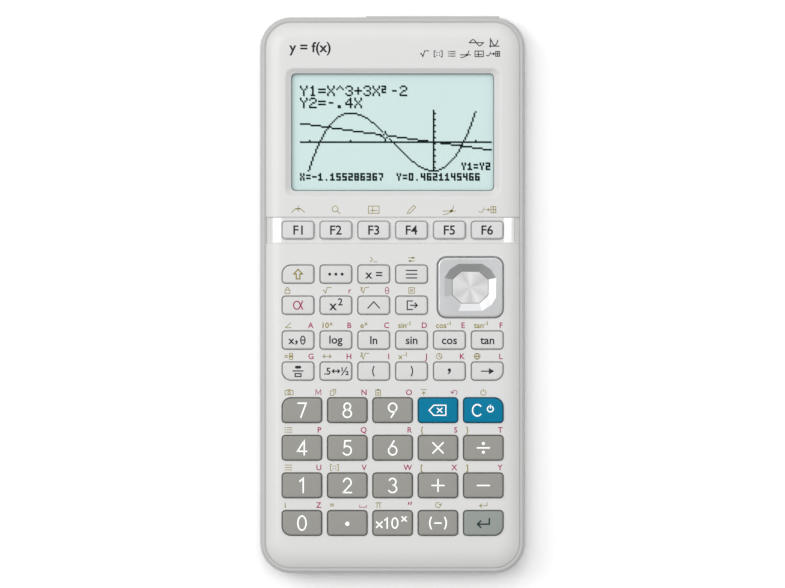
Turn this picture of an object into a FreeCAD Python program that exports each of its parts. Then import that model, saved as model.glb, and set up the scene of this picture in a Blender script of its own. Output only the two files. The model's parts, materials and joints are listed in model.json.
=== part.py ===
import FreeCAD, Part

# A pocket-size graphing calculator lying on its back: +X to its right, +Y to its top end, +Z out of its face.
# The origin is under the middle of the body, on the surface that the four rubber feet stand on. Millimetres.
#
# Every piece is an object of one parametric document. The driving dimensions are in the sheet "Sizes";
# what follows from them (row places, derived widths and heights) is worked out in the variable set "Layout".

import math
import os

import Sketcher
from FreeCAD import Placement, Rotation, Vector

SIZES = {
    # casing
    "body_width": 83.5,
    "body_length": 175.2,
    "corner_round": 9.8,
    "foot_height": 0.6,       # the rear cover's outer skin is this far above the table
    "seam_height": 6.0,       # parting plane of the two covers
    "shelf_height": 15.1,     # the rim that runs round the face
    "face_height": 17.5,
    "rim_width": 1.95,
    "side_wall": 1.8,
    "rear_wall": 1.6,
    "face_wall": 1.6,
    "rear_round": 3.5,
    "rim_round": 1.0,
    "face_round": 2.0,
    "lip_height": 0.8,        # the rear cover's lip stands in the front cover's rebate
    "lip_wall": 0.8,
    "fit_gap": 0.1,           # between pieces that locate each other
    # display
    "window_top_margin": 17.8,
    "window_width": 63.9,
    "window_height": 37.0,
    "window_corner": 1.4,
    "window_bevel": 1.0,
    "window_lap": 2.4,        # the lens is this much larger than its opening, each side
    "lens_thickness": 1.1,
    "glass_thickness": 1.8,
    "glass_inset": 1.2,
    "glass_ledge": 2.2,
    "tray_thickness": 0.4,
    "rib_wall": 1.0,
    "rib_depth": 3.0,
    # function-key band across the face
    "window_to_band": 8.1,
    "band_height": 8.4,
    "band_depth": 0.9,
    # keypad, stacked down from the band
    "side_margin": 6.95,
    "small_key_gap": 1.75,
    "number_key_gap": 1.66,
    "function_key_height": 5.7,
    "small_key_height": 5.9,
    "number_key_height": 7.95,
    "band_to_keys": 6.72,
    "band_to_boss": 1.5,
    "label_gap": 3.87,        # between rows, where the second legends are printed
    "block_gap": 5.05,
    "number_block_gap": 5.35,
    # key caps
    "key_corner": 1.1,
    "key_big_corner": 2.2,
    "key_clearance": 0.3,
    "key_flange": 0.6,
    "key_flange_thickness": 0.65,
    "key_float": 0.05,        # the flange rests this far under the face
    "key_wall": 1.0,
    "key_inner_corner": 0.4,
    "key_roof": 1.0,
    "key_edge_round": 0.5,
    "key_stem_radius": 1.3,
    "function_key_proud": 0.7,
    "small_key_proud": 0.9,
    "number_key_proud": 1.1,
    # cursor pad
    "pad_width": 20.2,
    "pad_height": 18.6,
    "pad_corner": 2.6,
    "pad_right_inset": 0.3,
    "pad_rise": 0.75,
    "pad_proud": 1.0,
    "pad_clearance": 0.45,
    "pad_flange": 0.5,
    "pad_flange_thickness": 0.6,
    "pad_swing_gap": 1.1,     # room above the flange for the corner that rises
    "pad_wall": 1.2,
    "pad_roof": 1.1,
    "pad_post_radius": 2.2,
    "pad_pusher_radius": 1.2,
    "pad_pusher_reach_x": 6.6,
    "pad_pusher_reach_y": 5.9,
    "pad_running_gap": 0.3,
    "ring_half_x": 8.08,      # twelve-sided rim of the faceted dish
    "ring_half_y": 7.4,
    "ring_side_x": 3.7,
    "ring_side_y": 3.0,
    "ring_corner_x": 6.48,
    "ring_corner_y": 5.63,
    "floor_half_x": 5.67,     # eight-sided floor of the dish
    "floor_half_y": 5.0,
    "floor_side_x": 2.77,
    "floor_side_y": 2.44,
    "dish_depth": 0.85,
    "rocker_radius": 3.2,
    "rocker_thickness": 0.6,
    "rocker_pip_radius": 1.5,
    # key mat and circuit board
    "board_thickness": 1.2,
    "board_half_width": 34.8,
    "board_top": 12.4,
    "board_end_inset": 4.4,
    "board_window_gap": 0.6,
    "mat_thickness": 0.6,
    "mat_half_width": 34.0,
    "mat_end_inset": 5.0,
    "dome_base_radius": 2.3,
    "dome_top_radius": 1.4,
    "dome_wall": 0.45,
    "dome_gap": 0.05,
    # fastening
    "case_boss_inset_x": 4.55,
    "case_boss_top_inset": 7.4,
    "case_boss_bottom_inset": 7.6,
    "case_boss_radius": 1.9,
    "rear_boss_radius": 2.6,
    "case_pilot_radius": 0.85,
    "case_hole_radius": 1.15,
    "case_head_radius": 1.9,
    "case_head_height": 1.3,
    "case_head_depth": 2.6,   # the screw heads sit this deep in the rear cover
    "case_screw_length": 8.0,
    "board_boss_radius": 1.6,
    "board_pilot_radius": 0.7,
    "board_hole_radius": 0.95,
    "board_head_radius": 1.5,
    "board_head_height": 0.9,
    "board_screw_length": 4.0,
    "board_boss_reach": 23.8,
    "board_boss_inner": 6.05,
    "board_boss_low_reach": 21.4,
    "screw_gap": 0.02,
    # batteries and their bay
    "battery_radius": 5.25,
    "battery_length": 44.5,
    "battery_nub_radius": 2.4,
    "battery_nub_height": 0.9,
    "battery_pitch": 10.7,
    "battery_lift": 0.3,      # above the closed cover
    "bay_end_gap": 0.2,
    "bay_wall": 1.2,
    "bay_top_gap": 0.2,
    "bay_end_inset": 14.8,    # from the body's end to the bay
    "spring_space": 4.5,
    "contact_thickness": 0.3,
    "contact_width": 8.0,
    "spring_wire_radius": 0.25,
    "spring_radius": 2.6,
    "spring_turns": 3.0,
    "divider_width": 1.4,
    "divider_height": 1.5,
    "divider_floor_gap": 0.05,
    # battery cover
    "door_thickness": 1.0,
    "door_ledge": 1.5,
    "door_corner": 1.8,
    "door_gap": 0.3,
    "tab_width": 6.0,
    "tab_reach": 1.1,
    "tab_thickness": 0.85,
    "tab_root": 1.4,
    "tab_spread": 15.0,
    "tab_gap": 0.05,
    "slot_gap": 0.4,
    "slot_height": 2.0,
    "latch_width": 8.0,
    "latch_bite": 0.9,
    "grip_width": 16.0,
    "grip_length": 5.0,
    "grip_depth": 0.55,
    # feet
    "foot_radius": 4.5,
    "foot_seat_depth": 0.4,
    "foot_inset_x": 12.7,
    "foot_top_inset": 7.6,
    "foot_bottom_inset": 9.6,
    "foot_chamfer": 0.25,
    # connectors in the top end
    "port_height": 9.25,      # axis of both sockets above the table
    "jack_x": 4.0,
    "jack_radius": 1.3,
    "jack_depth": 10.0,
    "jack_body_width": 6.0,
    "jack_body_length": 11.5,
    "jack_opening_radius": 2.3,
    "usb_x": 22.0,
    "usb_width": 7.7,
    "usb_height": 3.9,
    "usb_length": 9.2,
    "usb_shell": 0.4,
    "usb_opening_margin": 0.35,
    "surround_x": 12.6,
    "surround_width": 42.0,
    "surround_height": 6.1,
    "surround_proud": 0.3,
    "surround_root": 1.4,
    "surround_corner": 1.6,
    # stiffening and the bare label field in the rear cover
    "brace_wall": 1.0,
    "brace_height": 2.6,
    "brace_pitch": 24.0,
    "label_width": 46.0,
    "label_height": 20.0,
    "label_depth": 0.2,
    "label_corner": 1.5,
}

# What follows from the driving dimensions. Each line may use the lines above it.
LAYOUT = {
    "half_width": "Sizes.body_width / 2",
    "half_length": "Sizes.body_length / 2",
    "face_underside": "Sizes.face_height - Sizes.face_wall",
    "rear_inside": "Sizes.foot_height + Sizes.rear_wall",
    # display
    "window_y": "Layout.half_length - Sizes.window_top_margin - Sizes.window_height / 2",
    "lens_width": "Sizes.window_width + 2 * Sizes.window_lap",
    "lens_height": "Sizes.window_height + 2 * Sizes.window_lap",
    "glass_top": "Layout.face_underside - Sizes.lens_thickness - Sizes.fit_gap",
    "glass_bottom": "Layout.glass_top - Sizes.glass_thickness",
    "tray_bottom": "Layout.glass_bottom - Sizes.tray_thickness",
    # rows of keys
    "band_y": "Layout.window_y - Sizes.window_height / 2 - Sizes.window_to_band - Sizes.band_height / 2",
    "row_a_y": "Layout.band_y - Sizes.band_height / 2 - Sizes.band_to_keys - Sizes.small_key_height / 2",
    "row_b_y": "Layout.row_a_y - Sizes.small_key_height - Sizes.label_gap",
    "row_c_y": "Layout.row_b_y - Sizes.small_key_height - Sizes.block_gap",
    "row_d_y": "Layout.row_c_y - Sizes.small_key_height - Sizes.label_gap",
    "row_1_y": "Layout.row_d_y - (Sizes.small_key_height + Sizes.number_key_height) / 2 - Sizes.number_block_gap",
    "row_2_y": "Layout.row_1_y - Sizes.number_key_height - Sizes.label_gap",
    "row_3_y": "Layout.row_2_y - Sizes.number_key_height - Sizes.label_gap",
    "row_4_y": "Layout.row_3_y - Sizes.number_key_height - Sizes.label_gap",
    # columns of keys
    "key_field": "Sizes.body_width - 2 * Sizes.side_margin",
    "small_key_width": "(Layout.key_field - 5 * Sizes.small_key_gap) / 6",
    "small_key_pitch": "Layout.small_key_width + Sizes.small_key_gap",
    "number_key_width": "(Layout.key_field - 4 * Sizes.number_key_gap) / 5",
    "number_key_pitch": "Layout.number_key_width + Sizes.number_key_gap",
    # key heights
    "key_base": "Layout.face_underside - Sizes.key_float - Sizes.key_flange_thickness",
    "function_key_top": "Sizes.face_height + Sizes.function_key_proud",
    "small_key_top": "Sizes.face_height + Sizes.small_key_proud",
    "number_key_top": "Sizes.face_height + Sizes.number_key_proud",
    # cursor pad
    "pad_x": "Layout.half_width - Sizes.side_margin - Sizes.pad_right_inset - Sizes.pad_width / 2",
    "pad_y": "(Layout.row_a_y + Layout.row_b_y) / 2 + Sizes.pad_rise",
    "pad_top": "Sizes.face_height + Sizes.pad_proud",
    "pad_base": "Layout.face_underside - Sizes.pad_swing_gap - Sizes.pad_flange_thickness",
    "mat_top": "Sizes.board_top + Sizes.mat_thickness",
    "rocker_top": "Layout.pad_base - Sizes.pad_running_gap",
    # fastening rows
    "board_bottom": "Sizes.board_top - Sizes.board_thickness",
    "boss_mid_y": "Layout.band_y - Sizes.band_height / 2 - Sizes.band_to_boss",
    "boss_block_y": "Layout.row_b_y - Sizes.small_key_height / 2 - Sizes.block_gap / 2",
    "boss_number_y": "Layout.row_d_y - Sizes.small_key_height / 2 - Sizes.number_block_gap / 2",
    "case_boss_x": "Layout.half_width - Sizes.case_boss_inset_x",
    "case_boss_top_y": "Layout.half_length - Sizes.case_boss_top_inset",
    "case_boss_bottom_y": "Sizes.case_boss_bottom_inset - Layout.half_length",
    "rear_boss_top": "Sizes.seam_height - 4 * Sizes.fit_gap",
    "front_boss_bottom": "Sizes.seam_height - 3 * Sizes.fit_gap",
    # battery bay, under the display
    "bay_width": "Sizes.battery_length + Sizes.spring_space + 2 * Sizes.contact_thickness",
    "bay_height": "3 * Sizes.battery_pitch + 2 * Sizes.battery_radius + 2 * Sizes.bay_end_gap",
    "battery_axis": "Sizes.foot_height + Sizes.door_thickness + Sizes.battery_lift + Sizes.battery_radius",
    "bay_top": "Layout.tray_bottom - Sizes.bay_top_gap",
    "bay_y": "Layout.half_length - Sizes.bay_end_inset - Layout.bay_height / 2",
    "door_hole_width": "Layout.bay_width + 2 * Sizes.door_ledge",
    "door_hole_height": "Layout.bay_height + 2 * Sizes.door_ledge",
    "door_inside": "Sizes.foot_height + Sizes.door_thickness",
    "door_hinge_y": "Layout.bay_y + Layout.door_hole_height / 2",
}

CORNERS = ("bottom_right", "top_right", "top_left", "bottom_left")
BIG_CORNERS = {
    "key_shift": "top_left",
    "key_fraction": "bottom_left",
    "key_store": "bottom_right",
    "key_7": "top_left",
    "key_all_clear": "top_right",
    "key_0": "bottom_left",
    "key_execute": "bottom_right",
}
SMALL_ROWS = {
    "band_y": ["key_f1", "key_f2", "key_f3", "key_f4", "key_f5", "key_f6"],
    "row_a_y": ["key_shift", "key_options", "key_variables", "key_menu"],
    "row_b_y": ["key_alpha", "key_square", "key_power", "key_exit"],
    "row_c_y": ["key_angle_x", "key_log", "key_ln", "key_sin", "key_cos", "key_tan"],
    "row_d_y": ["key_fraction", "key_convert", "key_open_bracket", "key_close_bracket", "key_comma",
                "key_store"],
}
NUMBER_ROWS = {
    "row_1_y": ["key_7", "key_8", "key_9", "key_delete", "key_all_clear"],
    "row_2_y": ["key_4", "key_5", "key_6", "key_times", "key_divide"],
    "row_3_y": ["key_1", "key_2", "key_3", "key_plus", "key_minus"],
    "row_4_y": ["key_0", "key_point", "key_exponent", "key_negative", "key_execute"],
}

document = FreeCAD.newDocument("graphing_calculator")


# ---- the sheet and the variable set ----


def make_sheet():
    sheet = document.addObject("Spreadsheet::Sheet", "Sizes")
    for row, (alias, value) in enumerate(SIZES.items(), start=1):
        sheet.set(f"A{row}", alias)
        sheet.set(f"B{row}", str(value))
        sheet.setAlias(f"B{row}", alias)
    document.recompute()
    return sheet


def make_layout():
    layout = document.addObject("App::VarSet", "Layout")
    for name, expression in LAYOUT.items():
        layout.addProperty("App::PropertyFloat", name, "Layout")
        layout.setExpression(name, expression)
    document.recompute()
    return layout


sizes = make_sheet()
layout = make_layout()


# ---- sketches and features ----


def new_body(label):
    body = document.addObject("PartDesign::Body", label)
    body.Label = label
    return body


def ground_plane(body):
    return next(o for o in body.Origin.OriginFeatures if o.Role == "XY_Plane")


def new_sketch(body, name, x, y, z):
    """An empty sketch at (x, y, z), parallel to the body's ground plane, or a free one if body is None."""
    if body is None:
        sketch = document.addObject("Sketcher::SketchObject", name)
        place = "Placement"
    else:
        sketch = body.newObject("Sketcher::SketchObject", name)
        sketch.AttachmentSupport = (ground_plane(body), [""])
        sketch.MapMode = "FlatFace"
        place = "AttachmentOffset"
    for axis, expression in zip("xyz", (x, y, z)):
        sketch.setExpression(f"{place}.Base.{axis}", expression)
    return sketch


def bind(sketch, name, constraint, expression):
    index = sketch.addConstraint(constraint)
    sketch.renameConstraint(index, name)
    sketch.setExpression(f"Constraints.{name}", expression)


def rounded_sketch(body, name, width, height, corner, x="0", y="0", z="0"):
    """A rectangle about the sketch's own origin with an arc at each corner.

    corner is one expression, or four in the order of CORNERS."""
    corners = [corner] * 4 if isinstance(corner, str) else list(corner)
    sketch = new_sketch(body, name, x, y, z)
    half_w, half_h, start = 10.0, 8.0, 1.0
    sides = [
        ((start - half_w, -half_h), (half_w - start, -half_h)),
        ((half_w, start - half_h), (half_w, half_h - start)),
        ((half_w - start, half_h), (start - half_w, half_h)),
        ((-half_w, half_h - start), (-half_w, start - half_h)),
    ]
    centres = [(1, -1), (1, 1), (-1, 1), (-1, -1)]
    shapes = [Part.LineSegment(Vector(*a, 0), Vector(*b, 0)) for a, b in sides]
    for turn, (cx, cy) in enumerate(centres):
        centre = Vector(cx * (half_w - start), cy * (half_h - start), 0)
        first = math.radians(270 + 90 * turn)
        circle = Part.Circle(centre, Vector(0, 0, 1), start)
        shapes.append(Part.ArcOfCircle(circle, first, first + math.pi / 2))
    sketch.addGeometry(shapes, False)
    constraints = []
    for side in range(4):
        constraints.append(Sketcher.Constraint("Tangent", side, 2, 4 + side, 1))
        constraints.append(Sketcher.Constraint("Tangent", 4 + side, 2, (side + 1) % 4, 1))
    constraints += [Sketcher.Constraint("Horizontal", side) for side in (0, 2)]
    constraints += [Sketcher.Constraint("Vertical", side) for side in (1, 3)]
    sketch.addConstraint(constraints)
    bind(sketch, "right", Sketcher.Constraint("DistanceX", -1, 1, 1, 1, half_w), f"({width}) / 2")
    bind(sketch, "left", Sketcher.Constraint("DistanceX", 3, 1, -1, 1, half_w), f"({width}) / 2")
    bind(sketch, "top", Sketcher.Constraint("DistanceY", -1, 1, 2, 1, half_h), f"({height}) / 2")
    bind(sketch, "bottom", Sketcher.Constraint("DistanceY", 0, 1, -1, 1, half_h), f"({height}) / 2")
    for turn, (where, expression) in enumerate(zip(CORNERS, corners)):
        bind(sketch, where, Sketcher.Constraint("Radius", 4 + turn, start), expression)
    return sketch


def box_sketch(body, name, width, height, x="0", y="0", z="0"):
    """A plain rectangle about the sketch's own origin."""
    sketch = new_sketch(body, name, x, y, z)
    corners = [Vector(-2, -1, 0), Vector(2, -1, 0), Vector(2, 1, 0), Vector(-2, 1, 0)]
    sketch.addGeometry([Part.LineSegment(corners[i], corners[(i + 1) % 4]) for i in range(4)], False)
    constraints = [Sketcher.Constraint("Coincident", i, 2, (i + 1) % 4, 1) for i in range(4)]
    constraints += [Sketcher.Constraint("Horizontal", i) for i in (0, 2)]
    constraints += [Sketcher.Constraint("Vertical", i) for i in (1, 3)]
    sketch.addConstraint(constraints)
    bind(sketch, "right", Sketcher.Constraint("DistanceX", -1, 1, 1, 1, 2), f"({width}) / 2")
    bind(sketch, "left", Sketcher.Constraint("DistanceX", 3, 1, -1, 1, 2), f"({width}) / 2")
    bind(sketch, "top", Sketcher.Constraint("DistanceY", -1, 1, 2, 1, 1), f"({height}) / 2")
    bind(sketch, "bottom", Sketcher.Constraint("DistanceY", 0, 1, -1, 1, 1), f"({height}) / 2")
    return sketch


def circle_sketch(body, name, radius, x="0", y="0", z="0"):
    sketch = new_sketch(body, name, x, y, z)
    sketch.addGeometry(Part.Circle(Vector(0, 0, 0), Vector(0, 0, 1), 1), False)
    sketch.addConstraint(Sketcher.Constraint("Coincident", 0, 3, -1, 1))
    bind(sketch, "radius", Sketcher.Constraint("Radius", 0, 1), radius)
    return sketch


def pad(body, sketch, length, reverse=False):
    feature = body.newObject("PartDesign::Pad", f"{sketch.Name}_pad")
    feature.Profile = sketch
    feature.Reversed = reverse
    feature.setExpression("Length", length)
    return feature


def pocket(body, sketch, length, upward=False):
    """Cuts down from the sketch, or up from it."""
    feature = body.newObject("PartDesign::Pocket", f"{sketch.Name}_cut")
    feature.Profile = sketch
    feature.Reversed = upward
    feature.setExpression("Length", length)
    return feature


def edges_where(feature, wanted):
    """Names of a feature's edges for which wanted(edge) is true."""
    return [f"Edge{i}" for i, edge in enumerate(feature.Shape.Edges, start=1) if wanted(edge)]


def lies_at(edge, height):
    box = edge.BoundBox
    return abs(box.ZMin - height) < 1e-4 and abs(box.ZMax - height) < 1e-4


def dress(body, kind, base, names, size):
    """A fillet or chamfer on the named edges of base."""
    feature = body.newObject(f"PartDesign::{kind}", f"{base.Name}_{kind.lower()}")
    feature.Base = (base, names)
    feature.setExpression("Radius" if kind == "Fillet" else "Size", size)
    return feature


def part_object(kind, name, **expressions):
    """A Part primitive whose properties are bound by expressions; __ in a name stands for a dot."""
    made = document.addObject(f"Part::{kind}", name)
    for key, expression in expressions.items():
        made.setExpression(key.replace("__", "."), expression)
    return made


def cylinder(name, radius, height, x="0", y="0", z="0"):
    return part_object(
        "Cylinder", name, Radius=radius, Height=height,
        Placement__Base__x=x, Placement__Base__y=y, Placement__Base__z=z,
    )


def centred_box(name, width, length, height, x="0", y="0", z="0"):
    """A box whose middle is over (x, y) and whose bottom is at z."""
    return part_object(
        "Box", name, Length=width, Width=length, Height=height,
        Placement__Base__x=f"{x} - ({width}) / 2", Placement__Base__y=f"{y} - ({length}) / 2",
        Placement__Base__z=z,
    )


def prism(name, width, height, corner, length, x="0", y="0", z="0", outward=False):
    """An extruded rounded rectangle that rises from z, or with outward runs towards +Y from y."""
    outline = rounded_sketch(None, f"{name}_outline", width, height, corner, x, y, z)
    if outward:
        outline.Placement = Placement(outline.Placement.Base, Rotation(Vector(1, 0, 0), -90))
    solid = document.addObject("Part::Extrusion", name)
    solid.Base = outline
    solid.DirMode = "Normal"
    solid.Solid = True
    solid.setExpression("LengthFwd", length)
    return solid


def fuse(name, pieces):
    made = document.addObject("Part::MultiFuse", name)
    made.Shapes = pieces
    return made


def cut(name, base, tool):
    made = document.addObject("Part::Cut", name)
    made.Base, made.Tool = base, tool
    return made


def group(name, pieces):
    """Separate solids that share one node."""
    made = document.addObject("Part::Compound", name)
    made.Links = pieces
    return made


# ---- places that several pieces share ----


def small_x(column):
    return f"({column} - 2.5) * Layout.small_key_pitch"


def number_x(column):
    return f"({column} - 2) * Layout.number_key_pitch"


def key_corners(label, extra):
    """The four corner radii of a key's outline, widened by extra."""
    big = BIG_CORNERS.get(label)
    sizes_of = ["Sizes.key_big_corner" if where == big else "Sizes.key_corner" for where in CORNERS]
    return [f"{size} + {extra}" for size in sizes_of]


def all_keys():
    """Every key as (label, width, height, top, x, y)."""
    for row, labels in SMALL_ROWS.items():
        band = row == "band_y"
        height = "Sizes.function_key_height" if band else "Sizes.small_key_height"
        top = "Layout.function_key_top" if band else "Layout.small_key_top"
        for column, label in enumerate(labels):
            yield label, "Layout.small_key_width", height, top, small_x(column), f"Layout.{row}"
    for row, labels in NUMBER_ROWS.items():
        for column, label in enumerate(labels):
            width, height = "Layout.number_key_width", "Sizes.number_key_height"
            yield label, width, height, "Layout.number_key_top", number_x(column), f"Layout.{row}"


def case_boss_places():
    rows = ("Layout.case_boss_top_y", "Layout.boss_mid_y", "Layout.case_boss_bottom_y")
    return [(f"{sign} * Layout.case_boss_x", y) for y in rows for sign in (-1, 1)]


def board_boss_places():
    reach, inner, low = "Sizes.board_boss_reach", "Sizes.board_boss_inner", "Sizes.board_boss_low_reach"
    return [
        (f"-{reach}", "Layout.boss_mid_y"),
        (reach, "Layout.boss_mid_y"),
        (f"-{reach}", "Layout.boss_block_y"),
        (inner, "Layout.boss_block_y"),
        (f"-{low}", "Layout.boss_number_y"),
        (low, "Layout.boss_number_y"),
        (f"-{low}", "Layout.case_boss_bottom_y"),
        (low, "Layout.case_boss_bottom_y"),
    ]


def pusher_places():
    """Where the cursor pad's four pushers stand, as (x, y)."""
    reach_x, reach_y = "Sizes.pad_pusher_reach_x", "Sizes.pad_pusher_reach_y"
    return [
        (f"Layout.pad_x + {sx} * {reach_x}", f"Layout.pad_y + {sy} * {reach_y}")
        for sx, sy in ((1, 0), (-1, 0), (0, 1), (0, -1))
    ]


def battery_y(row):
    return f"Layout.bay_y + ({row} - 1.5) * Sizes.battery_pitch"


def inset_sketch(body, name, inset, z):
    """The body outline moved in by inset."""
    width = f"Sizes.body_width - 2 * ({inset})"
    length = f"Sizes.body_length - 2 * ({inset})"
    return rounded_sketch(body, name, width, length, f"Sizes.corner_round - ({inset})", z=z)


# ---- front cover ----


def front_shell(body):
    """Side walls up to the rim, the face standing inside it, and the hollow under both."""
    walls = pad(body, inset_sketch(body, "front_outline", "0", "Sizes.seam_height"),
                "Sizes.shelf_height - Sizes.seam_height")
    document.recompute()
    rim = edges_where(walls, lambda e: lies_at(e, sizes.shelf_height))
    dress(body, "Fillet", walls, rim, "Sizes.rim_round")
    face = pad(body, inset_sketch(body, "face_outline", "Sizes.rim_width", "Sizes.shelf_height - Sizes.rim_round"),
               "Sizes.face_height - Sizes.shelf_height + Sizes.rim_round")
    document.recompute()
    top = edges_where(face, lambda e: lies_at(e, sizes.face_height))
    dress(body, "Fillet", face, top, "Sizes.face_round")
    pocket(body, inset_sketch(body, "front_hollow", "Sizes.side_wall", "Sizes.seam_height"),
           "Sizes.shelf_height - Sizes.face_wall - Sizes.seam_height", upward=True)
    pocket(body, inset_sketch(body, "face_hollow", "Sizes.rim_width + Sizes.face_wall", "Sizes.seam_height"),
           "Layout.face_underside - Sizes.seam_height", upward=True)
    rebate = "Sizes.side_wall - Sizes.lip_wall - Sizes.fit_gap"
    pocket(body, inset_sketch(body, "lip_rebate", rebate, "Sizes.seam_height"),
           "Sizes.lip_height + Sizes.fit_gap", upward=True)


def front_bosses():
    """Bosses for the case screws and the board screws, and the pilot holes up into them."""
    bosses, pilots = [], []
    for i, (x, y) in enumerate(case_boss_places()):
        base = "Layout.front_boss_bottom"
        bosses.append(cylinder(f"case_boss_{i}", "Sizes.case_boss_radius", f"Layout.face_underside - {base}",
                               x, y, base))
        pilots.append(cylinder(f"case_pilot_{i}", "Sizes.case_pilot_radius", "Sizes.case_screw_length",
                               x, y, base))
    for i, (x, y) in enumerate(board_boss_places()):
        base = "Sizes.board_top"
        bosses.append(cylinder(f"board_boss_{i}", "Sizes.board_boss_radius", f"Layout.face_underside - {base}",
                               x, y, base))
        pilots.append(cylinder(f"board_pilot_{i}", "Sizes.board_pilot_radius",
                               "Sizes.board_screw_length - Sizes.board_thickness", x, y, base))
    return bosses, pilots


def display_opening(body):
    """The ribs that frame the lens, the opening above it, and the bevel down to it."""
    rib = "2 * (Sizes.rib_wall + Sizes.fit_gap)"
    outer = rounded_sketch(body, "rib_outline", f"Layout.lens_width + {rib}", f"Layout.lens_height + {rib}",
                           "Sizes.window_corner", y="Layout.window_y", z="Layout.face_underside - Sizes.rib_depth")
    pad(body, outer, "Sizes.rib_depth")
    inner = box_sketch(body, "lens_seat", "Layout.lens_width + 2 * Sizes.fit_gap",
                       "Layout.lens_height + 2 * Sizes.fit_gap",
                       y="Layout.window_y", z="Layout.face_underside - Sizes.rib_depth")
    pocket(body, inner, "Sizes.rib_depth", upward=True)
    window = rounded_sketch(body, "window_outline", "Sizes.window_width", "Sizes.window_height",
                            "Sizes.window_corner", y="Layout.window_y", z="Sizes.face_height")
    opening = pocket(body, window, "Sizes.face_wall")
    document.recompute()

    def on_the_opening(edge):
        box = edge.BoundBox
        inside = abs(box.XMax) < sizes.window_width / 2 + 0.01 and abs(box.XMin) < sizes.window_width / 2 + 0.01
        high = box.YMin > layout.window_y - sizes.window_height / 2 - 0.01
        return lies_at(edge, sizes.face_height) and inside and high

    bevel = edges_where(opening, on_the_opening)
    dress(body, "Chamfer", opening, bevel, "Sizes.window_bevel")


def function_band(body):
    """A shallow trough right across the face, where the function keys stand."""
    band = box_sketch(body, "band_outline", "Sizes.body_width", "Sizes.band_height",
                      y="Layout.band_y", z="Sizes.face_height")
    pocket(body, band, "Sizes.band_depth")


def key_holes():
    gap = "Sizes.key_clearance"
    holes = []
    for label, width, height, _, x, y in all_keys():
        holes.append(prism(f"{label}_hole", f"{width} + 2 * {gap}", f"{height} + 2 * {gap}", key_corners(label, gap),
                           "2 * Sizes.face_wall", x, y, "Sizes.face_height - 1.5 * Sizes.face_wall"))
    gap = "Sizes.pad_clearance"
    holes.append(prism("pad_hole", f"Sizes.pad_width + 2 * {gap}", f"Sizes.pad_height + 2 * {gap}",
                       f"Sizes.pad_corner + {gap}", "2 * Sizes.face_wall", "Layout.pad_x", "Layout.pad_y",
                       "Sizes.face_height - 1.5 * Sizes.face_wall"))
    return holes


def port_surround():
    """The raised pad on the top end that the two sockets open through."""
    return prism("port_surround", "Sizes.surround_width", "Sizes.surround_height", "Sizes.surround_corner",
                 "Sizes.surround_root + Sizes.surround_proud", "Sizes.surround_x",
                 "Layout.half_length - Sizes.surround_root", "Sizes.port_height + 3 * Sizes.fit_gap", outward=True)


def port_openings():
    margin, start = "2 * Sizes.usb_opening_margin", "Layout.half_length - 2 * Sizes.side_wall"
    usb = prism("usb_opening", f"Sizes.usb_width + {margin}", f"Sizes.usb_height + {margin}", "Sizes.key_corner",
                "4 * Sizes.side_wall", "Sizes.usb_x", start, "Sizes.port_height", outward=True)
    jack = cylinder("jack_opening", "Sizes.jack_opening_radius", "4 * Sizes.side_wall")
    jack.Placement = Placement(Vector(), Rotation(Vector(1, 0, 0), -90))
    for axis, expression in zip("xyz", ("Sizes.jack_x", start, "Sizes.port_height")):
        jack.setExpression(f"Placement.Base.{axis}", expression)
    return [usb, jack]


def make_front_cover():
    shell = new_body("front_shell")
    front_shell(shell)
    display_opening(shell)
    function_band(shell)
    bosses, pilots = front_bosses()
    solid = fuse("front_solid", [shell, port_surround()] + bosses)
    return cut("front_cover", solid, group("front_cuts", pilots + key_holes() + port_openings()))


# ---- rear cover ----


def rear_shell(body):
    floor = pad(body, inset_sketch(body, "rear_outline", "0", "Sizes.foot_height"),
                "Sizes.seam_height - Sizes.foot_height")
    document.recompute()
    bottom = edges_where(floor, lambda e: lies_at(e, sizes.foot_height))
    dress(body, "Fillet", floor, bottom, "Sizes.rear_round")
    lip = inset_sketch(body, "lip_outline", "Sizes.side_wall - Sizes.lip_wall", "Sizes.seam_height")
    pad(body, lip, "Sizes.lip_height")
    pocket(body, inset_sketch(body, "rear_hollow", "Sizes.side_wall", "Layout.rear_inside"),
           "Sizes.seam_height + Sizes.lip_height - Layout.rear_inside", upward=True)


def rear_braces(body):
    """Low ribs across the floor of the keypad half."""
    for i in range(3):
        brace = box_sketch(body, f"brace_{i}", "Sizes.body_width - 2 * Sizes.side_wall", "Sizes.brace_wall",
                           y=f"Layout.row_c_y - {i} * Sizes.brace_pitch", z="Layout.rear_inside")
        pad(body, brace, "Sizes.brace_height")


def battery_bay(body):
    """Walls round the batteries, the opening under them and the rebate that the battery cover closes."""
    wall = "2 * Sizes.bay_wall"
    outer = box_sketch(body, "bay_outline", f"Layout.bay_width + {wall}", f"Layout.bay_height + {wall}",
                       y="Layout.bay_y", z="Layout.door_inside")
    pad(body, outer, "Layout.bay_top - Layout.door_inside")
    inner = box_sketch(body, "bay_opening", "Layout.bay_width", "Layout.bay_height",
                       y="Layout.bay_y", z="Sizes.foot_height")
    pocket(body, inner, "Layout.bay_top - Sizes.foot_height", upward=True)
    rebate = rounded_sketch(body, "door_rebate", "Layout.door_hole_width", "Layout.door_hole_height",
                            "Sizes.door_corner + Sizes.door_gap", y="Layout.bay_y", z="Sizes.foot_height")
    pocket(body, rebate, "Sizes.door_thickness", upward=True)
    for i in range(3):
        divider = box_sketch(body, f"divider_{i}", "Layout.bay_width + Sizes.bay_wall", "Sizes.divider_width",
                             y=f"Layout.bay_y + ({i} - 1) * Sizes.battery_pitch",
                             z="Layout.door_inside + Sizes.divider_floor_gap")
        pad(body, divider, "Sizes.divider_height")


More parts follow.
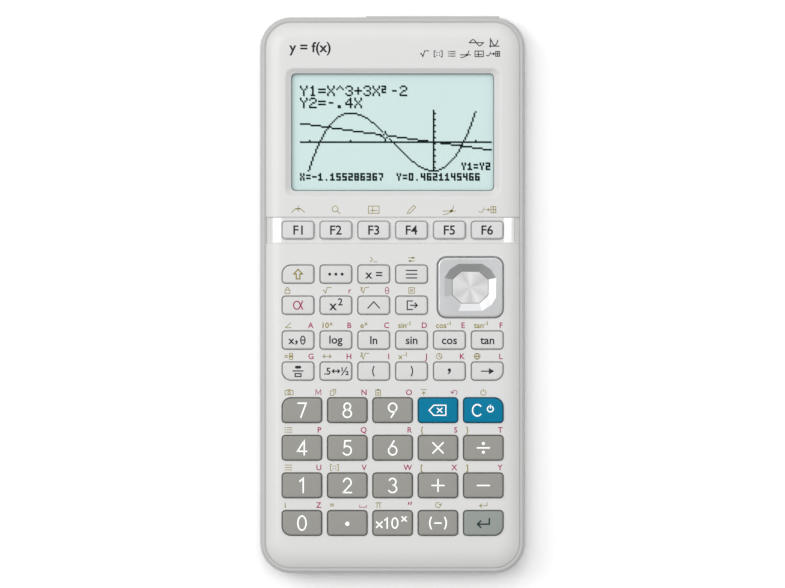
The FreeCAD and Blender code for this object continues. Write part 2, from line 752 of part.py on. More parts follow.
def door_slots(body):
    """Slots that the cover's two tabs and its latch reach through."""
    depth = "Sizes.door_ledge + Sizes.tab_reach + 3 * Sizes.slot_gap"
    for i, sign in enumerate((-1, 1)):
        slot = box_sketch(body, f"tab_slot_{i}", "Sizes.tab_width + 2 * Sizes.slot_gap", depth,
                          x=f"{sign} * Sizes.tab_spread",
                          y=f"Layout.bay_y + Layout.bay_height / 2 + ({depth}) / 2", z="Layout.rear_inside")
        pocket(body, slot, "Sizes.slot_height", upward=True)
        notch = box_sketch(body, f"tab_notch_{i}", "Sizes.tab_width + 2 * Sizes.slot_gap", "Sizes.door_ledge",
                           x=f"{sign} * Sizes.tab_spread",
                           y="Layout.door_hinge_y - Sizes.door_ledge / 2", z="Layout.door_inside")
        pocket(body, notch, "Sizes.rear_wall", upward=True)
    latch = box_sketch(body, "latch_slot", "Sizes.latch_width + 2 * Sizes.slot_gap", "Sizes.door_ledge",
                       y="Layout.bay_y - Layout.bay_height / 2 - Sizes.door_ledge / 2", z="Layout.door_inside")
    pocket(body, latch, "Sizes.slot_height + Sizes.rear_wall", upward=True)


def rear_bosses():
    """Screw bosses on the floor, each with a through hole and a deep counterbore from outside."""
    bosses, holes = [], []
    for i, (x, y) in enumerate(case_boss_places()):
        base = "Sizes.foot_height + Sizes.case_head_depth / 2"
        bosses.append(cylinder(f"rear_boss_{i}", "Sizes.rear_boss_radius", f"Layout.rear_boss_top - ({base})",
                               x, y, base))
        hole = cylinder(f"rear_hole_{i}", "Sizes.case_hole_radius", "Sizes.seam_height", x, y, "Sizes.foot_height")
        head = cylinder(f"rear_counterbore_{i}", "Sizes.case_head_radius + Sizes.fit_gap", "Sizes.case_head_depth",
                        x, y, "Sizes.foot_height")
        holes.append(fuse(f"rear_bore_{i}", [hole, head]))
    return bosses, holes


def foot_places():
    rows = ("Layout.half_length - Sizes.foot_top_inset", "Sizes.foot_bottom_inset - Layout.half_length")
    return [(f"{sign} * (Layout.half_width - Sizes.foot_inset_x)", y) for y in rows for sign in (-1, 1)]


def foot_seats():
    return [
        cylinder(f"foot_seat_{i}", "Sizes.foot_radius + Sizes.fit_gap", "Sizes.foot_seat_depth", x, y,
                 "Sizes.foot_height")
        for i, (x, y) in enumerate(foot_places())
    ]


def label_field():
    """A shallow bare field where a rating label would go."""
    return prism("label_field", "Sizes.label_width", "Sizes.label_height", "Sizes.label_corner", "Sizes.label_depth",
                 y="Layout.row_d_y", z="Sizes.foot_height")


def make_rear_cover():
    shell = new_body("rear_shell")
    rear_shell(shell)
    rear_braces(shell)
    battery_bay(shell)
    door_slots(shell)
    bosses, holes = rear_bosses()
    solid = fuse("rear_solid", [shell] + bosses)
    return cut("rear_cover", solid, group("rear_cuts", holes + foot_seats() + [label_field()]))


# ---- battery cover ----


def make_battery_cover():
    """A flush plate with two tabs that hook behind the rear cover and a snap latch at the other end.

    It opens by tipping about the lip of the rear cover beside the tabs."""
    body = new_body("battery_cover")
    gap = "2 * Sizes.door_gap"
    plate = rounded_sketch(body, "door_outline", f"Layout.door_hole_width - {gap}", f"Layout.door_hole_height - {gap}",
                           "Sizes.door_corner", y="Layout.bay_y", z="Sizes.foot_height")
    pad(body, plate, "Sizes.door_thickness")
    hook_z = "Layout.rear_inside + Sizes.tab_gap"
    bay_end = "(Layout.bay_y + Layout.bay_height / 2)"
    reach = "Sizes.tab_root + Sizes.door_ledge + Sizes.door_gap + Sizes.tab_reach"
    for i, sign in enumerate((-1, 1)):
        x = f"{sign} * Sizes.tab_spread"
        root = box_sketch(body, f"tab_root_{i}", "Sizes.tab_width", "Sizes.tab_root", x=x,
                          y=f"{bay_end} - Sizes.door_gap - Sizes.tab_root / 2", z="Layout.door_inside")
        pad(body, root, f"{hook_z} + Sizes.tab_thickness - Layout.door_inside")
        hook = box_sketch(body, f"tab_hook_{i}", "Sizes.tab_width", reach, x=x,
                          y=f"{bay_end} - Sizes.door_gap - Sizes.tab_root + ({reach}) / 2", z=hook_z)
        pad(body, hook, "Sizes.tab_thickness")
    latch_end = "(Layout.bay_y - Layout.bay_height / 2)"
    root = box_sketch(body, "latch_root", "Sizes.latch_width", "Sizes.tab_root",
                      y=f"{latch_end} + Sizes.door_gap + Sizes.tab_root / 2", z="Layout.door_inside")
    pad(body, root, f"{hook_z} + Sizes.tab_thickness - Layout.door_inside")
    bite = "Sizes.tab_root + Sizes.door_gap + Sizes.latch_bite"
    barb = box_sketch(body, "latch_barb", "Sizes.latch_width", bite,
                      y=f"{latch_end} - Sizes.latch_bite + ({bite}) / 2", z=hook_z)
    pad(body, barb, "Sizes.tab_thickness")
    grip = rounded_sketch(body, "grip_outline", "Sizes.grip_width", "Sizes.grip_length", "Sizes.key_corner",
                          y="Layout.bay_y - Layout.bay_height / 2 + Sizes.grip_length / 2",
                          z="Sizes.foot_height")
    pocket(body, grip, "Sizes.grip_depth", upward=True)
    return body


# ---- keys ----


def make_key(label, width, height, top, x, y):
    """A hollow cap with a retaining flange at its foot and a stem that presses its dome."""
    body = new_body(label)
    base = "Layout.key_base"
    out = "Sizes.key_flange"
    flange = rounded_sketch(body, f"{label}_flange", f"{width} + 2 * {out}", f"{height} + 2 * {out}",
                            key_corners(label, out), x, y, base)
    pad(body, flange, "Sizes.key_flange_thickness")
    outline = rounded_sketch(body, f"{label}_outline", width, height, key_corners(label, "0"), x, y, base)
    cap = pad(body, outline, f"{top} - {base}")
    cap.recompute(True)
    rim = edges_where(cap, lambda e: lies_at(e, cap.Shape.BoundBox.ZMax))
    dress(body, "Fillet", cap, rim, "Sizes.key_edge_round")
    wall = "2 * Sizes.key_wall"
    hollow = rounded_sketch(body, f"{label}_hollow", f"{width} - {wall}", f"{height} - {wall}",
                            "Sizes.key_inner_corner", x, y, base)
    pocket(body, hollow, f"{top} - Sizes.key_roof - {base}", upward=True)
    stem = circle_sketch(body, f"{label}_stem", "Sizes.key_stem_radius", x, y, base)
    pad(body, stem, f"{top} - Sizes.key_roof - {base}")
    return body


# ---- cursor pad ----


def quarter_points(points):
    """Mirrors points of the first quadrant into all four, in order round the centre."""
    first = list(points)
    second = [(-x, y) for x, y in reversed(first)]
    third = [(-x, -y) for x, y in first]
    fourth = [(x, -y) for x, y in reversed(first)]
    return first + second + third + fourth


def dish_cutter():
    """The faceted dish as a solid: a twelve-sided rim above, an eight-sided floor below, flat facets between."""
    rim_xy = quarter_points([
        (sizes.ring_half_x, sizes.ring_side_y),
        (sizes.ring_corner_x, sizes.ring_corner_y),
        (sizes.ring_side_x, sizes.ring_half_y),
    ])
    floor_xy = quarter_points([
        (sizes.floor_half_x, sizes.floor_side_y),
        (sizes.floor_side_x, sizes.floor_half_y),
    ])
    top, bottom = layout.pad_top, layout.pad_top - sizes.dish_depth
    above = [Vector(layout.pad_x + x, layout.pad_y + y, top) for x, y in rim_xy]
    below = [Vector(layout.pad_x + x, layout.pad_y + y, bottom) for x, y in floor_xy]
    facets = []
    for quarter in range(4):
        rim = [above[(3 * quarter + i) % 12] for i in range(4)]
        floor = [below[(2 * quarter + i) % 8] for i in range(3)]
        facets.append([rim[0], rim[1], floor[0]])
        facets.append([rim[1], floor[1], floor[0]])
        facets.append([rim[1], rim[2], floor[1]])
        facets.append([rim[2], rim[3], floor[2], floor[1]])
    outlines = facets + [above, below]
    faces = [Part.Face(Part.makePolygon(outline + [outline[0]])) for outline in outlines]
    cutter = document.addObject("Part::Feature", "dish_cutter")
    cutter.Shape = Part.makeSolid(Part.makeShell(faces))
    if cutter.Shape.Volume < 0:
        cutter.Shape = cutter.Shape.reversed()
    return cutter


def make_cursor_pad():
    body = new_body("pad_blank")
    base, x, y = "Layout.pad_base", "Layout.pad_x", "Layout.pad_y"
    out = "2 * Sizes.pad_flange + 2 * Sizes.pad_clearance"
    flange = rounded_sketch(body, "pad_flange_outline", f"Sizes.pad_width + {out}", f"Sizes.pad_height + {out}",
                            "Sizes.pad_corner + Sizes.pad_flange", x, y, base)
    pad(body, flange, "Sizes.pad_flange_thickness")
    outline = rounded_sketch(body, "pad_outline", "Sizes.pad_width", "Sizes.pad_height", "Sizes.pad_corner",
                             x, y, base)
    cap = pad(body, outline, f"Layout.pad_top - {base}")
    document.recompute()
    rim = edges_where(cap, lambda e: lies_at(e, layout.pad_top))
    dress(body, "Fillet", cap, rim, "Sizes.key_edge_round")
    wall = "2 * Sizes.pad_wall"
    hollow = rounded_sketch(body, "pad_hollow", f"Sizes.pad_width - {wall}", f"Sizes.pad_height - {wall}",
                            "Sizes.pad_corner - Sizes.pad_wall", x, y, base)
    roof = "Layout.pad_top - Sizes.dish_depth - Sizes.pad_roof"
    pocket(body, hollow, f"{roof} - {base}", upward=True)
    post = circle_sketch(body, "pad_post", "Sizes.pad_post_radius", x, y, base)
    pad(body, post, f"{roof} - {base}")
    for i, (px, py) in enumerate(pusher_places()):
        pusher = circle_sketch(body, f"pad_pusher_{i}", "Sizes.pad_pusher_radius", px, py, base)
        pad(body, pusher, f"{roof} - {base}")
    return cut("cursor_pad", body, dish_cutter())


def make_rocker():
    """A disc on a pip, between the cursor pad's centre post and the key mat."""
    x, y = "Layout.pad_x", "Layout.pad_y"
    disc = cylinder("rocker_disc", "Sizes.rocker_radius", "Sizes.rocker_thickness", x, y,
                    "Layout.rocker_top - Sizes.rocker_thickness")
    pip = cylinder("rocker_pip", "Sizes.rocker_pip_radius",
                   "Layout.rocker_top - Sizes.rocker_thickness / 2 - Layout.mat_top - Sizes.dome_gap", x, y,
                   "Layout.mat_top + Sizes.dome_gap")
    return fuse("cursor_pad_rocker", [disc, pip])


# ---- key mat and circuit board ----


def dome(name, x, y, top):
    """A hollow rubber dome as (outside, inside) cones; the inside is open to the board."""
    height = f"{top} - Sizes.dome_gap - Layout.mat_top"
    place = {"Placement__Base__x": x, "Placement__Base__y": y}
    outside = part_object("Cone", f"{name}_dome", Radius1="Sizes.dome_base_radius", Radius2="Sizes.dome_top_radius",
                          Height=height, Placement__Base__z="Layout.mat_top", **place)
    inside = part_object("Cone", f"{name}_dome_inside", Radius1="Sizes.dome_base_radius - Sizes.dome_wall",
                         Radius2="Sizes.dome_top_radius - Sizes.dome_wall",
                         Height=f"{height} - 2 * Sizes.dome_wall + Sizes.mat_thickness",
                         Placement__Base__z="Sizes.board_top", **place)
    return outside, inside


def make_key_mat():
    top_y = "Layout.band_y + Sizes.band_height / 2"
    bottom_y = "Sizes.mat_end_inset - Layout.half_length"
    sheet = part_object("Box", "mat_sheet", Length="2 * Sizes.mat_half_width", Width=f"{top_y} - ({bottom_y})",
                        Height="Sizes.mat_thickness", Placement__Base__x="-Sizes.mat_half_width",
                        Placement__Base__y=bottom_y, Placement__Base__z="Sizes.board_top")
    outsides, insides = [sheet], []
    for label, _, _, _, x, y in all_keys():
        outside, inside = dome(label, x, y, "Layout.key_base")
        outsides.append(outside)
        insides.append(inside)
    for i, (x, y) in enumerate(pusher_places()):
        outside, inside = dome(f"pusher_{i}", x, y, "Layout.pad_base")
        outsides.append(outside)
        insides.append(inside)
    for i, (x, y) in enumerate(board_boss_places()):
        insides.append(cylinder(f"mat_hole_{i}", "Sizes.board_boss_radius + 3 * Sizes.fit_gap",
                                "Sizes.mat_thickness", x, y, "Sizes.board_top"))
    return cut("key_mat", fuse("mat_outside", outsides), fuse("mat_inside", insides))


def board_plate():
    """The bare board, with a window for the battery bay and a hole at each boss."""
    length = "2 * (Layout.half_length - Sizes.board_end_inset)"
    plate = centred_box("board_blank", "2 * Sizes.board_half_width", length, "Sizes.board_thickness",
                        z="Layout.board_bottom")
    margin = "2 * (Sizes.bay_wall + Sizes.board_window_gap)"
    window = centred_box("board_window", f"Layout.bay_width + {margin}", f"Layout.bay_height + {margin}",
                         "Sizes.board_thickness", y="Layout.bay_y", z="Layout.board_bottom")
    holes = [window]
    for i, (x, y) in enumerate(board_boss_places()):
        holes.append(cylinder(f"board_hole_{i}", "Sizes.board_hole_radius", "Sizes.board_thickness", x, y,
                              "Layout.board_bottom"))
    for i, (x, y) in enumerate(case_boss_places()):
        holes.append(cylinder(f"board_notch_{i}", "Sizes.rear_boss_radius + Sizes.fit_gap", "Sizes.board_thickness",
                              x, y, "Layout.board_bottom"))
    return cut("board_plate", plate, fuse("board_holes", holes))


def make_main_board():
    """The board and what is soldered under it, as separate solids."""
    chips = [
        # name, width, length, height, x, y
        ("processor", 14.0, 14.0, 1.4, "0", "Layout.row_d_y"),
        ("flash_memory", 12.0, 8.0, 1.2, "-16", "Layout.row_c_y"),
        ("work_memory", 10.0, 8.0, 1.2, "16", "Layout.row_c_y"),
        ("crystal", 11.0, 4.6, 3.5, "0", "Layout.row_a_y"),
        ("power_regulator", 6.5, 6.5, 2.3, "-20", "Layout.row_a_y"),
    ]
    pieces = [board_plate()]
    for name, width, length, height, x, y in chips:
        pieces.append(centred_box(name, f"{width}", f"{length}", f"{height}", x, y,
                                  f"Layout.board_bottom - {height}"))
    return group("main_board", pieces)


# ---- display ----


def make_display_window():
    body = new_body("display_window")
    lens = rounded_sketch(body, "lens_outline", "Layout.lens_width", "Layout.lens_height", "Sizes.key_corner",
                          y="Layout.window_y", z="Layout.face_underside - Sizes.lens_thickness")
    pad(body, lens, "Sizes.lens_thickness")
    return body


def make_lcd_panel():
    """Two bonded panes, the rear one longer where the driver chip sits, in a thin tray."""
    width = "Layout.lens_width - 2 * Sizes.glass_inset"
    height = "Layout.lens_height - 2 * Sizes.fit_gap"
    half = "Sizes.glass_thickness / 2"
    rear_pane = centred_box("rear_pane", width, height, half, y="Layout.window_y", z="Layout.glass_bottom")
    front_pane = centred_box("front_pane", width, f"{height} - Sizes.glass_ledge", half,
                             y="Layout.window_y + Sizes.glass_ledge / 2", z=f"Layout.glass_bottom + {half}")
    tray = centred_box("lcd_tray", "Layout.lens_width", "Layout.lens_height", "Sizes.tray_thickness",
                       y="Layout.window_y", z="Layout.tray_bottom")
    return group("lcd_panel", [fuse("lcd_glass", [rear_pane, front_pane]), tray])


# ---- batteries and contacts ----


def make_batteries():
    """Four AAA cells side by side across the body, alternate ones turned end for end."""
    cells = []
    for row in range(4):
        facing = 1 if row % 2 else -1
        can = cylinder(f"can_{row}", "Sizes.battery_radius", "Sizes.battery_length - Sizes.battery_nub_height")
        nub = cylinder(f"nub_{row}", "Sizes.battery_nub_radius", "2 * Sizes.battery_nub_height",
                       z="Sizes.battery_length - 2 * Sizes.battery_nub_height")
        cell = fuse(f"cell_{row}", [can, nub])
        cell.Placement = Placement(Vector(), Rotation(Vector(0, 1, 0), 90 * facing))
        cell.setExpression("Placement.Base.x",
                           f"{facing} * (Layout.bay_width / 2 - Sizes.contact_thickness - Sizes.battery_length)")
        cell.setExpression("Placement.Base.y", battery_y(row))
        cell.setExpression("Placement.Base.z", "Layout.battery_axis")
        cells.append(cell)
    return group("batteries", cells)


def contact_spring(row):
    """A coil between a plate and a cell's flat end."""
    facing = -1 if row % 2 else 1
    wire = sizes.spring_wire_radius
    rise = sizes.spring_space - 2 * sizes.screw_gap - 2 * wire
    path = Part.makeHelix(rise / sizes.spring_turns, rise, sizes.spring_radius)
    first = path.Edges[0]
    tangent = first.tangentAt(first.FirstParameter)
    section = Part.Wire(Part.Circle(first.valueAt(first.FirstParameter), tangent, wire).toShape())
    coil = Part.Wire(path.Edges).makePipeShell([section], True, True)
    spring = document.addObject("Part::Feature", f"spring_{row}")
    spring.Shape = coil
    x = facing * (layout.bay_width / 2 - sizes.contact_thickness - sizes.screw_gap - wire)
    y = layout.bay_y + (row - 1.5) * sizes.battery_pitch
    spring.Placement = Placement(Vector(x, y, layout.battery_axis), Rotation(Vector(0, 1, 0), -90 * facing))
    return spring


def make_battery_contacts():
    """Plates on the bay's end walls, which join the cells in a row, and a spring at each flat end."""
    sides = {-1: ((0, 1), (2, 3)), 1: ((0, 0), (1, 2), (3, 3))}
    pieces = []
    for side, spans in sides.items():
        for first, last in spans:
            length = f"({last} - {first}) * Sizes.battery_pitch + Sizes.contact_width"
            middle = f"Layout.bay_y + (({first} + {last}) / 2 - 1.5) * Sizes.battery_pitch"
            x = f"{side} * (Layout.bay_width / 2 - Sizes.contact_thickness / 2)"
            pieces.append(centred_box(f"plate_{side + 1}_{first}", "Sizes.contact_thickness", length,
                                      "Sizes.contact_width", x, middle,
                                      "Layout.battery_axis - Sizes.contact_width / 2"))
    pieces += [contact_spring(row) for row in range(4)]
    return group("battery_contacts", pieces)


# ---- connectors ----


def make_port_sockets():
    """A small USB socket and a 2.5 mm three-pole jack, soldered under the board behind the top end."""
    mouth = "Layout.half_length - Sizes.side_wall - Sizes.fit_gap"
    usb_z = "Sizes.port_height - Sizes.usb_height / 2"
    shell = centred_box("usb_shell", "Sizes.usb_width", "Sizes.usb_length", "Sizes.usb_height", "Sizes.usb_x",
                        f"{mouth} - Sizes.usb_length / 2", usb_z)
    depth = "Sizes.usb_length - 3 * Sizes.usb_shell"
    hollow = centred_box("usb_hollow", "Sizes.usb_width - 2 * Sizes.usb_shell", depth,
                         "Sizes.usb_height - 2 * Sizes.usb_shell", "Sizes.usb_x", f"{mouth} - ({depth}) / 2",
                         f"{usb_z} + Sizes.usb_shell")
    tongue = centred_box("usb_tongue", "Sizes.usb_width / 2", "Sizes.usb_length * 0.8", "2 * Sizes.usb_shell",
                         "Sizes.usb_x", f"{mouth} - Sizes.usb_length * 0.6", "Sizes.port_height - Sizes.usb_shell")
    usb = fuse("usb_socket", [cut("usb_can", shell, hollow), tongue])
    block = centred_box("jack_block", "Sizes.jack_body_width", "Sizes.jack_body_length", "Sizes.usb_height",
                        "Sizes.jack_x", f"{mouth} - Sizes.jack_body_length / 2", usb_z)
    bore = cylinder("jack_bore", "Sizes.jack_radius", "Sizes.jack_depth")
    bore.Placement = Placement(Vector(), Rotation(Vector(1, 0, 0), 90))
    bore.setExpression("Placement.Base.x", "Sizes.jack_x")
    bore.setExpression("Placement.Base.y", mouth)
    bore.setExpression("Placement.Base.z", "Sizes.port_height")
    return group("port_sockets", [usb, cut("jack", block, bore)])


# ---- feet and screws ----


def make_feet():
    feet = []
    for i, (x, y) in enumerate(foot_places()):
        chamfer = "Sizes.foot_chamfer"
        tread = part_object("Cone", f"foot_tread_{i}", Radius1=f"Sizes.foot_radius - {chamfer}",
                            Radius2="Sizes.foot_radius", Height=chamfer,
                            Placement__Base__x=x, Placement__Base__y=y)
        disc = cylinder(f"foot_disc_{i}", "Sizes.foot_radius",
                        f"Sizes.foot_height + Sizes.foot_seat_depth - {chamfer}", x, y, chamfer)
        feet.append(fuse(f"foot_{i}", [tread, disc]))
    return group("rubber_feet", feet)


def screw(name, x, y, seat, head_radius, head_height, shank_radius, length):
    """A pan-head screw pointing up, its head's upper face at seat, with a cross recess."""
    head = cylinder(f"{name}_head", head_radius, head_height, x, y, f"{seat} - {head_height}")
    shank = cylinder(f"{name}_shank", shank_radius, f"{length} + {head_height} / 2", x, y,
                     f"{seat} - {head_height} / 2")
    long, short, depth = f"{head_radius} * 1.2", f"{head_radius} * 0.28", f"{head_height} * 0.6"
    bars = [
        centred_box(f"{name}_slot_a", long, short, depth, x, y, f"{seat} - {head_height}"),
        centred_box(f"{name}_slot_b", short, long, depth, x, y, f"{seat} - {head_height}"),
    ]
    return cut(name, fuse(f"{name}_blank", [head, shank]), fuse(f"{name}_recess", bars))


def make_screws():
    """Six case screws from behind and eight board screws."""
    screws = []
    for i, (x, y) in enumerate(case_boss_places()):
        screws.append(screw(f"case_screw_{i}", x, y, "Sizes.foot_height + Sizes.case_head_depth",
                            "Sizes.case_head_radius", "Sizes.case_head_height",
                            "Sizes.case_pilot_radius - Sizes.screw_gap", "Sizes.case_screw_length"))
    for i, (x, y) in enumerate(board_boss_places()):
        screws.append(screw(f"board_screw_{i}", x, y, "Layout.board_bottom", "Sizes.board_head_radius",
                            "Sizes.board_head_height", "Sizes.board_pilot_radius - Sizes.screw_gap",
                            "Sizes.board_screw_length - 2 * Sizes.fit_gap"))
    return group("screws", screws)


# ---- build, check and write ----


def check_document():
    """Stops if an object failed to compute, or if a cut took nothing away."""
    for item in document.Objects:
        if {"Invalid", "Error"} & set(item.State):
            raise RuntimeError(f"{item.Name} did not compute: {item.State}")
    for body in document.findObjects("PartDesign::Body"):
        before = None
        for feature in body.Group:
            if not hasattr(feature, "BaseFeature"):
                continue
            volume = feature.Shape.Volume
            if feature.TypeId == "PartDesign::Pocket" and volume > before - 1e-6:
                raise RuntimeError(f"{feature.Name} cuts nothing")
            if feature.TypeId == "PartDesign::Pad" and before is not None and volume < before + 1e-6:
                raise RuntimeError(f"{feature.Name} adds nothing")
            before = volume


def write_parts(pieces):
    os.makedirs("parts", exist_ok=True)
    for piece in pieces:
        shape = piece.Shape
        if shape.isNull() or not shape.isValid():
            raise RuntimeError(f"{piece.Label} has no valid shape")
        shape.exportStep(f"parts/{piece.Label}.step")
        box = shape.BoundBox
        print(f"{piece.Label:22s} {len(shape.Solids):3d} solid(s) {shape.Volume:10.1f} mm3 "
              f"{box.XLength:7.2f} x {box.YLength:7.2f} x {box.ZLength:6.2f}")


def main():
    pieces = [
        make_front_cover(),
        make_rear_cover(),
        make_battery_cover(),
        make_display_window(),
        make_lcd_panel(),
        make_key_mat(),
        make_main_board(),
        make_port_sockets(),
        make_batteries(),
        make_battery_contacts(),
        make_feet(),
        make_screws(),
        make_cursor_pad(),
        make_rocker(),
    ]
    pieces += [make_key(*key) for key in all_keys()]
    document.recompute()
    check_document()
    write_parts(pieces)


main()
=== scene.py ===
# %% [markdown]
# # A pocket graphing calculator
# The real thing is a stack: a rear cover, a battery bay, a circuit board, a rubber mat with a dome
# under every key, the keys themselves, and a silver front cover with a display behind a clear window.
# All of that already exists as an exact CAD model. This lesson loads it as a fixed frame and then gives
# it its looks: it swaps the plain covers and caps for finely shaped ones, prints the legends, draws a
# picture on the display, and lights the scene. Sizes are in millimetres until a mesh is made.

# %% Load the frame
import json
import math

import bmesh
import bpy
import numpy as np
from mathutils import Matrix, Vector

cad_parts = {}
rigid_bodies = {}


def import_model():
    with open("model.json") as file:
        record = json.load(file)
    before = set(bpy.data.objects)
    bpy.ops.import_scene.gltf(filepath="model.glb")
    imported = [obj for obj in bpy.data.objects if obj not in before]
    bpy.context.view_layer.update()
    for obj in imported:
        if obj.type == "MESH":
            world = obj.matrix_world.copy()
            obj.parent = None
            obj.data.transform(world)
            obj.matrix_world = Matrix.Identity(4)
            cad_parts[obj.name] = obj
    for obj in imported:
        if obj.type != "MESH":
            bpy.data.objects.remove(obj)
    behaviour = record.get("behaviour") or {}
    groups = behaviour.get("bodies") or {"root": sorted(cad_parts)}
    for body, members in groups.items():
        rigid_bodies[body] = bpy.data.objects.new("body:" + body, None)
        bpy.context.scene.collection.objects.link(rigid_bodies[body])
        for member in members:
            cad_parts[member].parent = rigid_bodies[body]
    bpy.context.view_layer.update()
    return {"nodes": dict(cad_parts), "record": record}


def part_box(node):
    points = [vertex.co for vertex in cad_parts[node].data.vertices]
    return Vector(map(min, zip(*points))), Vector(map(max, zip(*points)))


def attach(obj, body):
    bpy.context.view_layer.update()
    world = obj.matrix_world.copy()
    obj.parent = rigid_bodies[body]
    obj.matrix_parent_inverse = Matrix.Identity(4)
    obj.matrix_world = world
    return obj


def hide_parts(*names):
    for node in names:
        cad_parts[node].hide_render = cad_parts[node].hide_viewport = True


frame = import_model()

MM = 0.001


def span(node):
    """The lowest and highest corner of a CAD node, in millimetres."""
    low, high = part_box(node)
    return np.array(low) / MM, np.array(high) / MM


front_low, front_high = span("front_cover")
print("nodes:", len(frame["nodes"]), "front cover:", np.round(front_low, 2), np.round(front_high, 2))

# %% [markdown]
# ## From numbers to a mesh
# Every new piece here is worked out with numpy as rows of points, then handed to Blender in one go.
# A grid of rows and columns is the simplest surface there is: neighbours in the grid share a face.
# Where the columns close on themselves the grid is a ring, which suits anything carried round an
# outline. Points that coincide are merged afterwards, so a row that shrinks to one point becomes a
# closed pole, and the faces are then turned outwards.

# %% Grids and pieces


def grid_faces(rows, columns, closed=True):
    """Quads of a grid: each joins column j to j + 1 and row i to i + 1; a closed grid wraps its columns."""
    last = columns if closed else columns - 1
    i, j = np.meshgrid(np.arange(rows - 1), np.arange(last), indexing="ij")
    here, beside = i * columns + j, i * columns + (j + 1) % columns
    return np.stack([here, beside, beside + columns, here + columns], -1).reshape(-1, 4)


def skin(rows, closed=True):
    """(points, quads) of a surface given as an array of rows x columns x 3."""
    rows = np.asarray(rows, float)
    return rows.reshape(-1, 3), grid_faces(rows.shape[0], rows.shape[1], closed)


def at_height(points, height):
    """Adds a third coordinate to plan points: height is one number or one for each point."""
    return np.concatenate([points, np.broadcast_to(height, points.shape[:-1])[..., None]], -1)


def mesh_from(name, surfaces):
    """One mesh from several (points, faces) in millimetres; every face of a surface has as many corners."""
    points = np.concatenate([p for p, _ in surfaces]) * MM
    starts = np.cumsum([0] + [len(p) for p, _ in surfaces])
    corners = np.concatenate([(f + s).ravel() for (_, f), s in zip(surfaces, starts)])
    sizes = np.concatenate([np.full(len(f), f.shape[1]) for _, f in surfaces])
    mesh = bpy.data.meshes.new(name)
    mesh.vertices.add(len(points))
    mesh.vertices.foreach_set("co", points.astype(np.float32).ravel())
    mesh.loops.add(len(corners))
    mesh.loops.foreach_set("vertex_index", corners.astype(np.int32))
    mesh.polygons.add(len(sizes))
    mesh.polygons.foreach_set("loop_start", (np.cumsum(sizes) - sizes).astype(np.int32))
    mesh.update(calc_edges=True)
    return mesh


MERGE_WITHIN = 0.0008
VANISHES_BELOW = 0.0002


def close_up(mesh):
    """Merges coincident points, drops the faces that vanish, and turns the rest outwards."""
    work = bmesh.new()
    work.from_mesh(mesh)
    bmesh.ops.remove_doubles(work, verts=work.verts, dist=MERGE_WITHIN * MM)
    bmesh.ops.dissolve_degenerate(work, edges=work.edges, dist=VANISHES_BELOW * MM)
    bmesh.ops.recalc_face_normals(work, faces=work.faces)
    work.to_mesh(mesh)
    work.free()


def add_object(name, data):
    """Puts a mesh, a curve, a lamp or a camera into the scene as an object at the origin."""
    made = bpy.data.objects.new(name, data)
    bpy.context.scene.collection.objects.link(made)
    return made


def face_values(mesh, what):
    """One row of three numbers for every face: its "center" or its "normal"."""
    values = np.empty(len(mesh.polygons) * 3)
    mesh.polygons.foreach_get(what, values)
    return values.reshape(-1, 3)


def give_materials(made, extra, choice):
    """Adds materials, and gives each face the one whose number stands in choice; 0 is the piece's first."""
    for material in extra:
        made.data.materials.append(material)
    made.data.polygons.foreach_set("material_index", choice.astype(np.int32))


def piece(name, surfaces, material, body="calculator", replaces=(), smooth=40):
    """Makes an object of some surfaces, hangs it on the body it rides on and hides the CAD parts it stands
    for.

    Edges that bend by more than smooth degrees stay sharp."""
    mesh = mesh_from(name, surfaces)
    close_up(mesh)
    mesh.shade_smooth()
    mesh.set_sharp_from_angle(angle=math.radians(smooth))
    mesh.materials.append(material)
    made = add_object(name, mesh)
    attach(made, body)
    if replaces:
        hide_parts(*replaces)
    return made


print("a 3 x 4 ring has", len(grid_faces(3, 4)), "quads")

# %% [markdown]
# ## One finish recipe for every moulded part
# Moulded plastic is never one flat colour: paint and pigment drift a little over centimetres, and the
# steel mould leaves a fine grain that catches the light. Both effects are needed on a dozen materials,
# so they are built once, as a node group with named inputs, and each material feeds it its own values.
# The shader itself stays in the material, where its plain settings are easy to read.

# %% The moulded finish
CLOUDS_PER_METRE = 60.0
CLOUD_DETAIL, GRAIN_DETAIL = 3.0, 2.0


def add_sockets(group, direction, sockets):
    """Declares a group's sockets from {name: default}; a tuple is a colour."""
    for name, default in sockets.items():
        kind = "NodeSocketColor" if isinstance(default, tuple) else "NodeSocketFloat"
        socket = group.interface.new_socket(name, in_out=direction, socket_type=kind)
        socket.default_value = default


